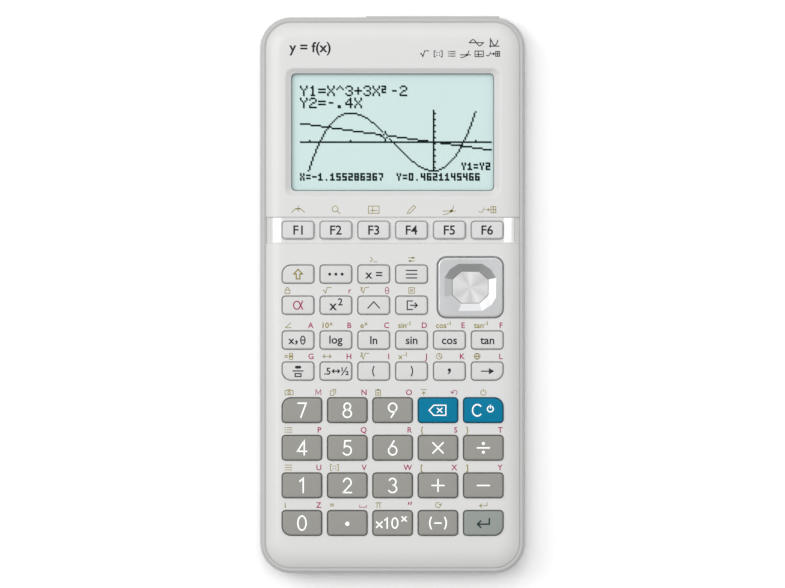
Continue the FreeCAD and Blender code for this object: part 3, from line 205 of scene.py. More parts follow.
def moulded_finish_group():
    """colour = base x (1 + drift x cloudy noise); roughness = base + spread x noise; height = fine noise."""
    group = bpy.data.node_groups.new("moulded_finish", "ShaderNodeTree")
    add_sockets(group, "INPUT", {"Colour": (0.8, 0.8, 0.8, 1.0), "Drift": 0.04, "Roughness": 0.4,
                                 "Spread": 0.06, "Grains per metre": 4000.0})
    add_sockets(group, "OUTPUT", {"Colour": (0.8, 0.8, 0.8, 1.0), "Roughness": 0.4, "Height": 0.0})
    nodes, link = group.nodes, group.links.new
    given, out = nodes.new("NodeGroupInput"), nodes.new("NodeGroupOutput")
    place = nodes.new("ShaderNodeTexCoord")
    cloud, fine = nodes.new("ShaderNodeTexNoise"), nodes.new("ShaderNodeTexNoise")
    cloud.inputs["Scale"].default_value = CLOUDS_PER_METRE
    cloud.inputs["Detail"].default_value = CLOUD_DETAIL
    fine.inputs["Detail"].default_value = GRAIN_DETAIL
    link(place.outputs["Object"], cloud.inputs["Vector"])
    link(place.outputs["Object"], fine.inputs["Vector"])
    link(given.outputs["Grains per metre"], fine.inputs["Scale"])
    centred = nodes.new("ShaderNodeMath")
    centred.operation = "SUBTRACT"
    centred.inputs[1].default_value = 0.5
    link(cloud.outputs["Fac"], centred.inputs[0])
    drift = nodes.new("ShaderNodeMath")
    drift.operation = "MULTIPLY_ADD"
    drift.inputs[2].default_value = 1.0
    link(centred.outputs[0], drift.inputs[0])
    link(given.outputs["Drift"], drift.inputs[1])
    tint = nodes.new("ShaderNodeVectorMath")
    tint.operation = "SCALE"
    link(given.outputs["Colour"], tint.inputs[0])
    link(drift.outputs[0], tint.inputs["Scale"])
    rough = nodes.new("ShaderNodeMath")
    rough.operation = "MULTIPLY_ADD"
    link(centred.outputs[0], rough.inputs[0])
    link(given.outputs["Spread"], rough.inputs[1])
    link(given.outputs["Roughness"], rough.inputs[2])
    link(tint.outputs[0], out.inputs["Colour"])
    link(rough.outputs[0], out.inputs["Roughness"])
    link(fine.outputs["Fac"], out.inputs["Height"])
    return group


FINISH = moulded_finish_group()
print("finish inputs:", [s.name for s in FINISH.interface.items_tree if s.in_out == "INPUT"])

# %% Materials from the recipe


def linear(red, green, blue):
    """A colour given as 0 to 255 screen values, as the linear values that a shader works with."""
    screen = np.array([red, green, blue]) / 255.0
    line = np.where(screen <= 0.04045, screen / 12.92, ((screen + 0.055) / 1.055) ** 2.4)
    return (*line.tolist(), 1.0)


def moulded(name, colour, roughness, drift=0.03, spread=0.05, grains=4000.0, depth=0.012, **settings):
    """A material with the moulded finish. depth is the grain's height in mm; settings go to the shader."""
    material = bpy.data.materials.new(name)
    material.use_nodes = True
    nodes, link = material.node_tree.nodes, material.node_tree.links.new
    shader = nodes["Principled BSDF"]
    finish = nodes.new("ShaderNodeGroup")
    finish.node_tree = FINISH
    values = {"Colour": colour, "Drift": drift, "Roughness": roughness, "Spread": spread,
              "Grains per metre": grains}
    for socket, value in values.items():
        finish.inputs[socket].default_value = value
    link(finish.outputs["Colour"], shader.inputs["Base Color"])
    link(finish.outputs["Roughness"], shader.inputs["Roughness"])
    bump = nodes.new("ShaderNodeBump")
    bump.inputs["Distance"].default_value = depth * MM
    link(finish.outputs["Height"], bump.inputs["Height"])
    link(bump.outputs["Normal"], shader.inputs["Normal"])
    for socket, value in settings.items():
        shader.inputs[socket.replace("_", " ")].default_value = value
    return material


SILVER_PAINT = moulded("silver_paint", linear(206, 206, 205), 0.42, grains=9000, depth=0.004,
                       Coat_Weight=0.25)
WHITE_KEY = moulded("white_key", linear(201, 201, 200), 0.36, grains=7000, depth=0.003)
FUNCTION_KEY = moulded("function_key", linear(203, 203, 203), 0.28, grains=7000, depth=0.002, Coat_Weight=0.3)
# the rim and the port surround: a darker grey than the face, partly their own tone and partly painted shade
# where they turn away from the light
RIM_PAINT_AND_SHADE = moulded("rim_paint_and_shade", linear(180, 180, 179), 0.45, grains=9000, depth=0.004)
GREY_KEY = moulded("grey_key", linear(141, 140, 135), 0.4, grains=7000, depth=0.004)
EXECUTE_KEY = moulded("execute_key", linear(137, 143, 138), 0.4, grains=7000, depth=0.004)
TEAL_KEY = moulded("teal_key", linear(0, 112, 146), 0.45, drift=0.05, grains=7000, depth=0.004,
                   Specular_IOR_Level=0.15)
print("materials:", [m.name for m in bpy.data.materials if m.use_nodes])

# %% [markdown]
# ## Outlines
# Nearly every part of this object has the same outline: a rectangle with round corners. Two helpers
# cover all of them. One walks round such a rectangle and returns evenly placed points. The other takes
# points on the border of a plain rectangle and finds each one's partner on the rounded one, by pulling
# it towards the corner's centre. With it, any rectangular cell can get a rounded hole.

# %% Rounded rectangles
CORNER_SIGNS = np.array([(1, -1), (1, 1), (-1, 1), (-1, -1)])  # lower right first, counter-clockwise


def rounded_loop(middle, half, radii, arc=7, side=6):
    """Walks round counter-clockwise: a quarter circle at each corner, then a straight run to the next."""
    middle, half = np.asarray(middle, float), np.asarray(half, float)
    radii = np.broadcast_to(np.asarray(radii, float), 4)
    arcs = []
    for turn, (sign, radius) in enumerate(zip(CORNER_SIGNS, radii)):
        angle = np.radians(270 + 90 * turn + np.linspace(0, 90, arc + 1))
        circle = np.stack([np.cos(angle), np.sin(angle)], -1)
        arcs.append(middle + sign * (half - radius) + radius * circle)
    between = np.linspace(0, 1, side + 1)[1:-1, None]
    runs = [a[-1] + (b[0] - a[-1]) * between for a, b in zip(arcs, arcs[1:] + arcs[:1])]
    return np.concatenate([part for pair in zip(arcs, runs) for part in pair])


def partner(unit, middle, half, radii):
    """Moves points of a square border (coordinates -1 to 1) onto a rounded rectangle.

    The square is stretched to the rectangle, and what lies beyond a corner's centre is drawn onto its arc."""
    half = np.asarray(half, float)
    radii = np.broadcast_to(np.asarray(radii, float), 4)
    right, up = unit[:, 0] > 0, unit[:, 1] > 0
    quarter = np.select([right & ~up, right & up, ~right & up], [0, 1, 2], 3)
    radius = radii[quarter][:, None]
    stretched = unit * half
    core = np.clip(stretched, radius - half, half - radius)
    away = stretched - core
    length = np.linalg.norm(away, axis=1, keepdims=True)
    return np.asarray(middle) + core + away / np.maximum(length, 1e-9) * radius


print("points round a key:", len(rounded_loop((0, 0), (6, 4), 1.1)))

# %% [markdown]
# ## Where the keys are
# The CAD model knows where each key stands and how tall it is, so the places are read from it. A key's
# box there includes the flange that stops it from falling out, which is a little wider than the cap.
# Seven keys have one corner that is much rounder than the others: they sit at the corners of a block.

# %% Key places
KEY_FLANGE = 0.6
CAP_INSET = 0.22
KEY_CORNER = 1.1
ROOM_FOR_INK = 0.035  # the legend on a cap must stay below the CAD key's top
BIG_CORNER = 2.9
BIG_CORNERS = {  # which corner of these keys is the round one, counted as in CORNER_SIGNS
    "key_shift": 2, "key_fraction": 3, "key_store": 0,
    "key_7": 2, "key_all_clear": 1, "key_0": 3, "key_execute": 0,
}
KEYS = sorted(node for node in frame["nodes"] if node.startswith("key_") and node != "key_mat")


def key_place(node):
    """A cap's middle and half size in plan, its four corner radii, and the heights of its foot and top."""
    low, high = span(node)
    radii = np.full(4, KEY_CORNER)
    if node in BIG_CORNERS:
        radii[BIG_CORNERS[node]] = BIG_CORNER
    middle = (low[:2] + high[:2]) / 2
    half = (high[:2] - low[:2]) / 2 - KEY_FLANGE - CAP_INSET
    return middle, half, radii - CAP_INSET, low[2], high[2] - ROOM_FOR_INK


PLACES = {node: key_place(node) for node in KEYS}
print(len(KEYS), "keys, for example key_7 at", np.round(PLACES["key_7"][0], 2), "half size",
      np.round(PLACES["key_7"][1], 2))

# %% [markdown]
# ## Key caps
# A cap is a hollow shell. Seen in section it starts at the middle of its ceiling, comes down the inside,
# turns out under the flange, climbs the outside, rounds its edge and ends at the middle of its gently
# crowned top. Carrying that section round the outline gives the whole cap as one closed ring surface
# with a pole at each end. A bevelled box would need less code, but its top would be dead flat, and a
# flat top shows no soft gradient under a lamp.

# %% One cap
EDGE_ROUND = 0.42
CROWN = 0.1
CAP_WALL = 1.0
FLANGE_HEIGHT = 0.65
LEAST_CORNER = 0.15
TOP_RINGS = (0.93, 0.8, 0.6, 0.35, 0.0)  # from the rounded edge to the middle


def crown_height(points, middle, half, top):
    """top - crown x (1 - (1 - u^2)(1 - v^2)): highest in the middle, level along the rounded edge."""
    u, v = np.clip((points - middle) / (half - EDGE_ROUND), -1, 1).T
    return top - CROWN * (1 - (1 - u**2) * (1 - v**2))


def cap_surface(middle, half, radii, foot, top):
    """The closed section of a cap carried round its outline."""

    def loop(grow):
        return rounded_loop(middle, half + grow, np.maximum(radii + grow, LEAST_CORNER))

    shoulder, flange, flange_top = top - CROWN, KEY_FLANGE + CAP_INSET, foot + FLANGE_HEIGHT
    section = [(-CAP_WALL, shoulder - CAP_WALL), (-CAP_WALL, foot), (flange, foot), (flange, flange_top),
               (0, flange_top)]
    rows = [at_height(np.broadcast_to(middle, loop(0).shape), shoulder - CAP_WALL)]
    rows += [at_height(loop(grow), height) for grow, height in section]
    for angle in np.radians(np.linspace(0, 90, 5)):
        height = shoulder + EDGE_ROUND * (np.sin(angle) - 1)
        rows.append(at_height(loop(EDGE_ROUND * (np.cos(angle) - 1)), height))
    rim = loop(-EDGE_ROUND)
    for share in TOP_RINGS:
        inner = middle + (rim - middle) * share
        rows.append(at_height(inner, crown_height(inner, middle, half, top)))
    return skin(rows)


sample = cap_surface(*PLACES["key_7"])
print("one cap:", len(sample[0]), "points", len(sample[1]), "quads")

# %% All the caps
slots = {s["node"]: s["material_slot"] for s in frame["record"]["subparts"]}
SPECIAL_CAPS = {"key_delete": TEAL_KEY, "key_all_clear": TEAL_KEY, "key_execute": EXECUTE_KEY}
CAPS_BY_SLOT = {"grey_key_plastic": GREY_KEY, "function_key_plastic": FUNCTION_KEY}


def cap_material(node):
    return SPECIAL_CAPS.get(node) or CAPS_BY_SLOT.get(slots[node], WHITE_KEY)


for node, place in PLACES.items():
    piece(f"{node}_cap", [cap_surface(*place)], cap_material(node), f"{node}_cap", [node])
print("caps made:", len(PLACES))

# %% [markdown]
# ## The face of the front cover
# The face is flat in the middle and rolls down over its last few millimetres to a fine crease, which
# separates it from the rim. A function key band crosses it as a shallow trough. Both are simple to say
# as a height over the plan, so one function gives the height of any point of the face. The roll uses
# the distance from the crease, which for a rounded rectangle is easy to work out.

# %% Height of the face
BODY_HALF = np.array([front_high[0], -front_low[1]])
BODY_CORNER = 9.8
RIM_WIDTH = 1.95
CREASE_HALF = BODY_HALF - RIM_WIDTH
CREASE_CORNER = BODY_CORNER - RIM_WIDTH
FACE_TOP = front_high[2]
FACE_WALL = 1.6
UNDERSIDE = FACE_TOP - FACE_WALL
ROLL_WIDTH = 6.2
ROLL_DROP = 2.1
ROLL_POWER = 2.3
BAND_DEPTH = 0.75
BAND_RAMP = 0.2
F_ROW = PLACES["key_f1"][0][1]
BAND_HALF = 4.2


def inside_crease(points):
    """Distance from the crease, counted inwards: the corner radius less the distance from the core."""
    beyond = np.abs(points) - (CREASE_HALF - CREASE_CORNER)
    outside = np.linalg.norm(np.maximum(beyond, 0), axis=-1)
    return CREASE_CORNER - outside - np.minimum(beyond.max(-1), 0)


def plain_face(points):
    """The face without its band: the top less drop x (1 - distance / roll width) to the roll's power."""
    share = np.clip(inside_crease(points) / ROLL_WIDTH, 0, 1)
    return FACE_TOP - ROLL_DROP * (1 - share) ** ROLL_POWER


def face(points):
    """The face with the trough of the band, whose long sides are short ramps."""
    into = (BAND_HALF - np.abs(points[..., 1] - F_ROW)) / BAND_RAMP
    return plain_face(points) - BAND_DEPTH * np.clip(into, 0, 1)


print("face height in the middle", face(np.zeros(2)), "at the crease", face(CREASE_HALF * (1, 0)))

# %% [markdown]
# ## A patchwork of cells
# The face has a hole for every key. Cutting them with booleans would leave long thin triangles that
# shade badly on a rolled surface. A patchwork is cleaner: the face is divided into rectangular cells
# with one hole each, and every cell is a ring from its border to its hole, over a tiny rounded lip,
# down the wall of the hole and back under the face. All the cells take their border points from one
# shared lattice, so neighbours meet point for point and merge into a single closed shell.

# %% The lattice and the cells
pitch = PLACES["key_f2"][0][0] - PLACES["key_f1"][0][0]
number_pitch = PLACES["key_8"][0][0] - PLACES["key_7"][0][0]
ROW_STARTS = ("key_shift", "key_alpha", "key_log", "key_fraction", "key_7", "key_4", "key_1", "key_0")
LAST_SMALL_ROW = 3
row_y = np.array([PLACES[key][0][1] for key in ROW_STARTS])
FIELD_X = 3 * pitch
FIELD_TOP = 74.5
FIELD_BOTTOM = row_y[-1] - 5.9
BAND_TOP, BAND_BOTTOM = F_ROW + BAND_HALF, F_ROW - BAND_HALF
small_columns = (np.arange(7) - 3) * pitch
number_columns = np.concatenate([[-FIELD_X], np.arange(-1.5, 2) * number_pitch, [FIELD_X]])
rows_between = np.concatenate([[BAND_BOTTOM], (row_y[:-1] + row_y[1:]) / 2, [FIELD_BOTTOM]])
rows_between[LAST_SMALL_ROW + 1] += 0.5  # the first row of numbers is taller than the small rows above it


def lattice(breaks, step):
    """The given positions, with evenly spaced ones between them at most step apart."""
    breaks = np.unique(np.round(breaks, 4))
    runs = [np.linspace(a, b, int(np.ceil((b - a) / step)) + 1)[:-1] for a, b in zip(breaks, breaks[1:])]
    return np.append(np.concatenate(runs), breaks[-1])


STEP_X, STEP_Y = 0.62, 0.66
LATTICE_X = lattice([*small_columns, *number_columns], STEP_X)
LATTICE_Y = lattice([*rows_between, BAND_TOP, FIELD_TOP, BAND_TOP - BAND_RAMP, BAND_BOTTOM + BAND_RAMP],
                    STEP_Y)


def between(values, low, high, slack=1e-3):
    return values[(values > low - slack) & (values < high + slack)]


def cell_border(x0, x1, y0, y1):
    """Lattice points round a cell, counter-clockwise from its lower right corner."""
    xs, ys = between(LATTICE_X, x0, x1), between(LATTICE_Y, y0, y1)
    right = np.stack([np.full(len(ys), xs[-1]), ys], -1)
    top = np.stack([xs[::-1], np.full(len(xs), ys[-1])], -1)
    left = np.stack([np.full(len(ys), xs[0]), ys[::-1]], -1)
    bottom = np.stack([xs, np.full(len(xs), ys[0])], -1)
    return np.concatenate([right[:-1], top[:-1], left[:-1], bottom[:-1]])


print("lattice:", len(LATTICE_X), "by", len(LATTICE_Y))

# %% A cell with a hole
HOLE_GAP = 0.3
LIP = 0.22
CELL_RINGS = (0.35, 0.7, 0.9, 1.0)  # from the cell's border to the lip
LIP_ANGLES = np.radians((30, 60, 90))


def onto_square(border):
    """The same points with their rectangle stretched to the square from -1 to 1."""
    low, high = border.min(0), border.max(0)
    return (border - low) / (high - low) * 2 - 1


def holed_cell(cell, middle, half, radii, ramp):
    """A ring: from the cell's border inwards over the face, round the lip, down the hole, back underneath.

    A cell that crosses the band takes one more row at the foot of the band's two ramps."""
    border = cell_border(*cell)
    unit = onto_square(border)
    hole, corner = half + HOLE_GAP, radii + HOLE_GAP

    def outline(grow):
        return partner(unit, middle, hole + grow, corner + grow)

    start = border.copy()
    start[:, 1] = np.clip(start[:, 1], border[:, 1].min() + ramp, border[:, 1].max() - ramp)
    rows = [at_height(border, face(border))]
    for share in (0.0, *CELL_RINGS) if ramp else CELL_RINGS:
        over = start + (outline(LIP) - start) * share
        rows.append(at_height(over, face(over)))
    for angle in LIP_ANGLES:
        over = outline(LIP * (1 - np.sin(angle)))
        rows.append(at_height(over, face(outline(LIP)) - LIP * (1 - np.cos(angle))))
    rows.append(at_height(outline(0), UNDERSIDE))
    rows.append(at_height(border, UNDERSIDE))
    return skin(rows)


SMALL_KEYS = ("shift options variables menu", "alpha square power exit", "angle_x log ln sin cos tan",
              "fraction convert open_bracket close_bracket comma store")
NUMBER_KEYS = ("7 8 9 delete all_clear", "4 5 6 times divide", "1 2 3 plus minus",
               "0 point exponent negative execute")
FUNCTION_KEYS = [f"key_f{i}" for i in range(1, 7)]


def key_cells():
    """(cell, key) of every key, and of the cursor pad as None."""
    for i, key in enumerate(FUNCTION_KEYS):
        yield (small_columns[i], small_columns[i + 1], BAND_BOTTOM, BAND_TOP), key
    for row, names in enumerate(SMALL_KEYS + NUMBER_KEYS):
        columns = small_columns if row <= LAST_SMALL_ROW else number_columns
        for i, name in enumerate(names.split()):
            yield (columns[i], columns[i + 1], rows_between[row + 1], rows_between[row]), f"key_{name}"
    yield (small_columns[4], small_columns[6], rows_between[2], rows_between[0]), None


print("cells:", len(list(key_cells())))

# %% [markdown]
# ## Display recess
# The display lies deeper than the face, behind a clear window. A sloping frame leads down to it, a
# little wider at the sides and the bottom than at the top. It is one more ring of the patchwork: from
# the cell's border to the upper edge of the slope, down the slope, and over a small lip at its foot.

# %% The display cell
window_low, window_high = span("display_window")
WINDOW_LAP = 2.4
WINDOW_MIDDLE = ((window_low + window_high) / 2)[:2]
WINDOW_HALF = ((window_high - window_low) / 2)[:2] - WINDOW_LAP
WINDOW_CORNER = 1.4
SLOPE_SIDE, SLOPE_TOP = 1.8, 1.5
SLOPE_FOOT = UNDERSIDE + 0.42
SLOPE_HEAD = FACE_TOP - 0.2
CORNER_GROWTH = 1.2  # how much rounder the recess is at its upper edge
FRAME_RINGS = (0.25, 0.5, 0.7, 0.85, 0.95, 1.0)  # from the cell's border to just outside the slope
SHOULDER = ((1.12, 0.015), (1.0, 0.09), (0.9, 0.2))  # share of the slope, drop below the face
SLOPE_RINGS = (0.6, 0.3, 0.12)
SLOPE_LIP = ((0.02, 0.08), (0.0, 0.2))  # share of the slope, drop below its foot
FRAME_ENDS = 1.25  # share of the slope where the frame's rings stop


def display_cell():
    """One ring: over the face, round the shoulder, down the slope, over its lip and back underneath."""
    border = cell_border(-FIELD_X, FIELD_X, BAND_TOP, FIELD_TOP)
    unit = onto_square(border)
    recess_middle = WINDOW_MIDDLE - (0, (SLOPE_SIDE - SLOPE_TOP) / 2)
    recess_half = WINDOW_HALF + (SLOPE_SIDE, (SLOPE_SIDE + SLOPE_TOP) / 2)

    def outline(share):
        """0 is the opening, 1 the upper edge of the slope."""
        middle = WINDOW_MIDDLE + (recess_middle - WINDOW_MIDDLE) * share
        half = WINDOW_HALF + (recess_half - WINDOW_HALF) * share
        return partner(unit, middle, half, WINDOW_CORNER + CORNER_GROWTH * share)

    rows = [at_height(border, face(border))]
    upper = outline(FRAME_ENDS)
    for share in FRAME_RINGS:
        over = border + (upper - border) * share
        rows.append(at_height(over, face(over)))
    for share, drop in SHOULDER:
        rows.append(at_height(outline(share), FACE_TOP - drop))
    for share in SLOPE_RINGS:
        climbed = (share - SLOPE_RINGS[-1]) / (SHOULDER[-1][0] - SLOPE_RINGS[-1])
        rows.append(at_height(outline(share), SLOPE_FOOT + (SLOPE_HEAD - SLOPE_FOOT) * climbed))
    for share, drop in SLOPE_LIP:
        rows.append(at_height(outline(share), SLOPE_FOOT - drop))
    rows.append(at_height(outline(0.0), UNDERSIDE))
    rows.append(at_height(border, UNDERSIDE))
    return skin(rows)


print("window half size", np.round(WINDOW_HALF, 2), "middle", np.round(WINDOW_MIDDLE, 2))

# %% [markdown]
# ## Rim, walls and the front cover as a whole
# Outside the field of cells one last ring goes round the whole body. It rolls down to the crease, dips
# into it, swells into the rim's bead, follows the side wall to the seam, turns in and comes back up
# inside. Its section is a list of distances from the outline and heights, carried along the outline's
# normals. At the four corners of the field the ring fans out from a single point.

# %% The outer ring
SEAM = front_low[2]
FACE_RINGS = (0, 0.12, 0.25, 0.38, 0.5, 0.61, 0.71, 0.8, 0.87, 0.93, 0.97, 1.0)  # field to crease
RIM_SECTION = [  # distance in from the body's outline, height above the table
    (1.93, 15.22), (1.86, 15.08), (1.74, 15.04), (1.62, 15.12), (1.48, 15.27), (1.28, 15.36), (1.02, 15.33),
    (0.78, 15.18), (0.56, 14.92), (0.38, 14.55), (0.24, 14.0), (0.14, 13.2), (0.06, 12.0), (0.0, 10.4),
    (0.0, 8.4), (0.06, SEAM + 0.45), (0.14, SEAM + 0.18), (0.3, SEAM + 0.05), (0.5, SEAM), (0.9, SEAM),
    (0.9, SEAM + 0.9), (1.8, SEAM + 0.9), (1.8, 13.4), (2.4, 14.6), (3.6, UNDERSIDE),
]


def fan_targets(sign):
    """Points of the crease round one corner of the field, from its side towards its end."""
    core = CREASE_HALF - CREASE_CORNER
    field_y = FIELD_TOP if sign[1] > 0 else -FIELD_BOTTOM
    straight = np.linspace(field_y, core[1], 4)[:-1]
    side = np.stack([np.full(3, CREASE_HALF[0]), straight], -1)
    angle = np.linspace(0, math.acos((FIELD_X - core[0]) / CREASE_CORNER), 14)
    arc = core + CREASE_CORNER * np.stack([np.cos(angle), np.sin(angle)], -1)
    return np.concatenate([side, arc]) * sign


def ring_pairs():
    """The field's border with each point's partner on the crease, and the normals there."""
    core = CREASE_HALF - CREASE_CORNER
    xs, ys = between(LATTICE_X, -FIELD_X, FIELD_X), between(LATTICE_Y, FIELD_BOTTOM, FIELD_TOP)
    end = core[1] + np.sqrt(CREASE_CORNER**2 - np.maximum(np.abs(xs) - core[0], 0) ** 2)
    inner, outer = [], []
    for turn, sign in enumerate(CORNER_SIGNS):
        corner = np.array([FIELD_X * sign[0], FIELD_TOP if sign[1] > 0 else FIELD_BOTTOM])
        fan = fan_targets(sign)[1:-1]
        inner.append(np.broadcast_to(corner, fan.shape))
        outer.append(fan if sign[0] * sign[1] > 0 else fan[::-1])
        if turn % 2 == 0:
            line = ys if turn == 0 else ys[::-1]
            inner.append(np.stack([np.full(len(line), corner[0]), line], -1))
            outer.append(np.stack([np.full(len(line), CREASE_HALF[0] * sign[0]), line], -1))
        else:
            order = slice(None, None, -1) if turn == 1 else slice(None)
            inner.append(np.stack([xs[order], np.full(len(xs), corner[1])], -1))
            outer.append(np.stack([xs[order], end[order] * sign[1]], -1))
    inner, outer = np.concatenate(inner), np.concatenate(outer)
    away = outer - np.clip(outer, -core, core)
    return inner, outer, away / np.linalg.norm(away, axis=1, keepdims=True)


def outer_ring():
    """The roll of the face, then the rim's section carried along the normals of the crease."""
    inner, crease, normal = ring_pairs()
    rows = []
    for share in FACE_RINGS:
        over = inner + (crease - inner) * share
        rows.append(at_height(over, face(over)))
    for inset, height in RIM_SECTION:
        rows.append(at_height(crease + normal * (RIM_WIDTH - inset), height))
    rows.append(at_height(inner, UNDERSIDE))
    return skin(rows)


print("points round the ring:", len(ring_pairs()[0]))

# %% Places of the pad and of the two port openings
pad_low, pad_high = span("cursor_pad")
PAD_FLANGE = 0.95
PAD_MIDDLE = ((pad_low + pad_high) / 2)[:2]
PAD_HALF = ((pad_high - pad_low) / 2)[:2] - PAD_FLANGE
PAD_CORNER = 2.6
PAD_GAP = 0.45
PORT_HEIGHT = 9.25
USB_X, JACK_X = 22.0, 4.0
USB_HALF, USB_CORNER = (4.2, 2.3), 1.1
JACK_HALF, JACK_CORNER = (2.3, 2.3), 2.29
PLUG_BACK, PLUG_FRONT = 80.0, 92.0


def wall_plug(middle, half, radii):
    """A closed block that goes through the top end, with a rounded outline in the upright plane."""
    loop = rounded_loop(middle, half, radii, arc=6, side=3)
    centre = np.broadcast_to(middle, loop.shape)
    rows = [(centre, PLUG_BACK), (loop, PLUG_BACK), (loop, PLUG_FRONT), (centre, PLUG_FRONT)]
    return skin([np.stack([p[:, 0], np.full(len(p), y), p[:, 1]], -1) for p, y in rows])


def carve(target, cutters):
    """Takes cutters away from a piece with a boolean, and applies it."""
    for name, surface in cutters.items():
        mesh = mesh_from(name, [surface])
        close_up(mesh)
        tool = add_object(name, mesh)
        cut = target.modifiers.new(name, "BOOLEAN")
        cut.operation, cut.solver, cut.object = "DIFFERENCE", "EXACT", tool
    bpy.context.view_layer.update()
    carved = bpy.data.meshes.new_from_object(target.evaluated_get(bpy.context.evaluated_depsgraph_get()))
    target.modifiers.clear()
    target.data = carved
    for name in cutters:
        bpy.data.objects.remove(bpy.data.objects[name])


print("pad", np.round(PAD_HALF * 2, 2), "ports at", USB_X, "and", JACK_X)

# %% The front cover, with its port openings cut out
PORT_PLUGS = {
    "usb_plug": wall_plug((USB_X, PORT_HEIGHT), USB_HALF, USB_CORNER),
    "jack_plug": wall_plug((JACK_X, PORT_HEIGHT), JACK_HALF, JACK_CORNER),
}
surfaces = [display_cell(), outer_ring()]
for cell, key in key_cells():
    if key:
        middle, half, radii = PLACES[key][:3]
    else:
        wider = PAD_GAP - HOLE_GAP
        middle, half, radii = PAD_MIDDLE, PAD_HALF + wider, np.full(4, PAD_CORNER + wider)
    ramp = BAND_RAMP if key in FUNCTION_KEYS else 0.0
    surfaces.append(holed_cell(cell, middle, half, radii, ramp))
front = piece("front_cover_shell", surfaces, SILVER_PAINT, replaces=["front_cover"])
carve(front, PORT_PLUGS)
on_rim = inside_crease(face_values(front.data, "center")[:, :2] / MM) < 0.01
# the rim takes the darker grey, which is partly painted shade
give_materials(front, [RIM_PAINT_AND_SHADE], on_rim)
print("front cover:", len(front.data.polygons), "faces,", int(on_rim.sum()), "of them on the rim")

# %% [markdown]
# ## The port surround and the band's two bright ends
# The connectors sit in a slightly raised frame on the top edge. It is a flat slab with a small bevel,
# standing upright, and the same two cutters that opened the wall behind it open the slab.
# The trough of the function keys ends in two small near-white inlays, a painted highlight for the light
# that the band's ends catch. They are pillows: a grid whose height falls off smoothly at its borders,
# closed underneath.

# %% Port surround
SURROUND_X = (-8.4, 33.6)
SURROUND_Z = (6.5, 12.6)
SURROUND_PROUD = 0.3
SURROUND_BACK = -0.6
SURROUND_EDGE = 0.15
SURROUND_CORNER = 0.5


def surround_slab(y):
    """A flat block standing upright: back, sides, a small bevel and the front, closed at both middles."""
    middle = np.array([sum(SURROUND_X) / 2, sum(SURROUND_Z) / 2])
    half = np.array([np.ptp(SURROUND_X) / 2, np.ptp(SURROUND_Z) / 2])
    loop = rounded_loop(middle, half, SURROUND_CORNER, arc=5, side=4)
    inner = rounded_loop(middle, half - SURROUND_EDGE, SURROUND_CORNER - SURROUND_EDGE, arc=5, side=4)
    centre = np.broadcast_to(middle, loop.shape)
    rows = [(centre, SURROUND_BACK), (loop, SURROUND_BACK), (loop, SURROUND_PROUD - SURROUND_EDGE),
            (inner, SURROUND_PROUD), (centre, SURROUND_PROUD)]
    return skin([np.stack([p[:, 0], np.full(len(p), y + out), p[:, 1]], -1) for p, out in rows])


# the surround takes the rim's darker grey, which is partly painted shade
surround = piece("port_surround", [surround_slab(BODY_HALF[1])], RIM_PAINT_AND_SHADE)
carve(surround, PORT_PLUGS)
print("port surround:", len(surround.data.polygons), "faces")

# %% Inlays, painted highlights at the band's ends
INLAY_HALF = np.array([1.35, 3.85])
INLAY_X = 36.35
INLAY_RISE = 0.32
# near-white gloss: a painted highlight for the light on the band's ends
INLAY_HIGHLIGHT_WHITE = moulded("inlay_painted_highlight", linear(250, 250, 250), 0.12, grains=3000, depth=0.001,
                      Coat_Weight=0.6)


def pillow(middle, half, base, rise, below=0.2):
    """base + rise x (1 - u^6)(1 - v^6), with u and v from -1 to 1, over a sheet that lies below the base."""
    u, v = np.meshgrid(np.linspace(-1, 1, 17), np.linspace(-1, 1, 25), indexing="ij")
    plan = np.stack([middle[0] + u * half[0], middle[1] + v * half[1]], -1)
    upper = at_height(plan, base(plan) + rise * (1 - u**6) * (1 - v**6))
    lower = at_height(plan, base(plan) - below)
    lower[[0, -1]] = upper[[0, -1]]
    lower[:, [0, -1]] = upper[:, [0, -1]]
    return [skin(upper, closed=False), skin(lower, closed=False)]


inlays = [s for side in (-1, 1) for s in pillow((side * INLAY_X, F_ROW), INLAY_HALF, face, INLAY_RISE)]
piece("band_inlays", inlays, INLAY_HIGHLIGHT_WHITE)
print("inlays at", INLAY_X, "mm either side")

# %% [markdown]
# ## The cursor pad
# The pad is one silver key that tips in four directions. Its top is flat, with a shallow dish cut into
# it: twelve sides above, eight below, and flat facets between them, like a cut stone. Facets must stay
# truly flat, or they lose their sparkle, so they are listed corner by corner instead of being carried
# round. The flat top and the floor of the dish are fans that join a smooth outline to those corners.

# %% Corners of the dish
PAD_TOP = pad_high[2]
DISH_DEPTH = 0.85
RIM_CORNERS = [(8.08, -3.0), (8.08, 3.0), (6.48, 5.63), (3.7, 7.4)]
FLOOR_CORNERS = [(5.67, -2.44), (5.67, 2.44), (2.77, 5.0)]


def turn_quarters(first, second):
    """Both halves of a figure that is the same upside down and back to front, counter-clockwise."""
    upper = np.array(first + [(-x, y) for x, y in second])
    return np.concatenate([upper, -upper])


RIM = turn_quarters(RIM_CORNERS, RIM_CORNERS[:1:-1])
FLOOR = turn_quarters(FLOOR_CORNERS, FLOOR_CORNERS[:1:-1])
print("rim corners:", len(RIM), "floor corners:", len(FLOOR))

# %% Pad
PAD_WALL = 1.2
PAD_CEILING = PAD_TOP - 1.95
PAD_FLANGE_HEIGHT = 0.6
PAD_EDGE = 0.5
FLAT_TOP_STARTS = 0.62  # in from the outline
FLOOR_RADII = (4.2, 2.8, 1.4, 0.0)


def nearest_corner(points, corners):
    """The number of the corner nearest in angle to each point; all are given about the origin."""
    turn = np.arctan2(*points.T[::-1])[:, None] - np.arctan2(*corners.T[::-1])
    return np.abs(np.angle(np.exp(1j * turn))).argmin(1)


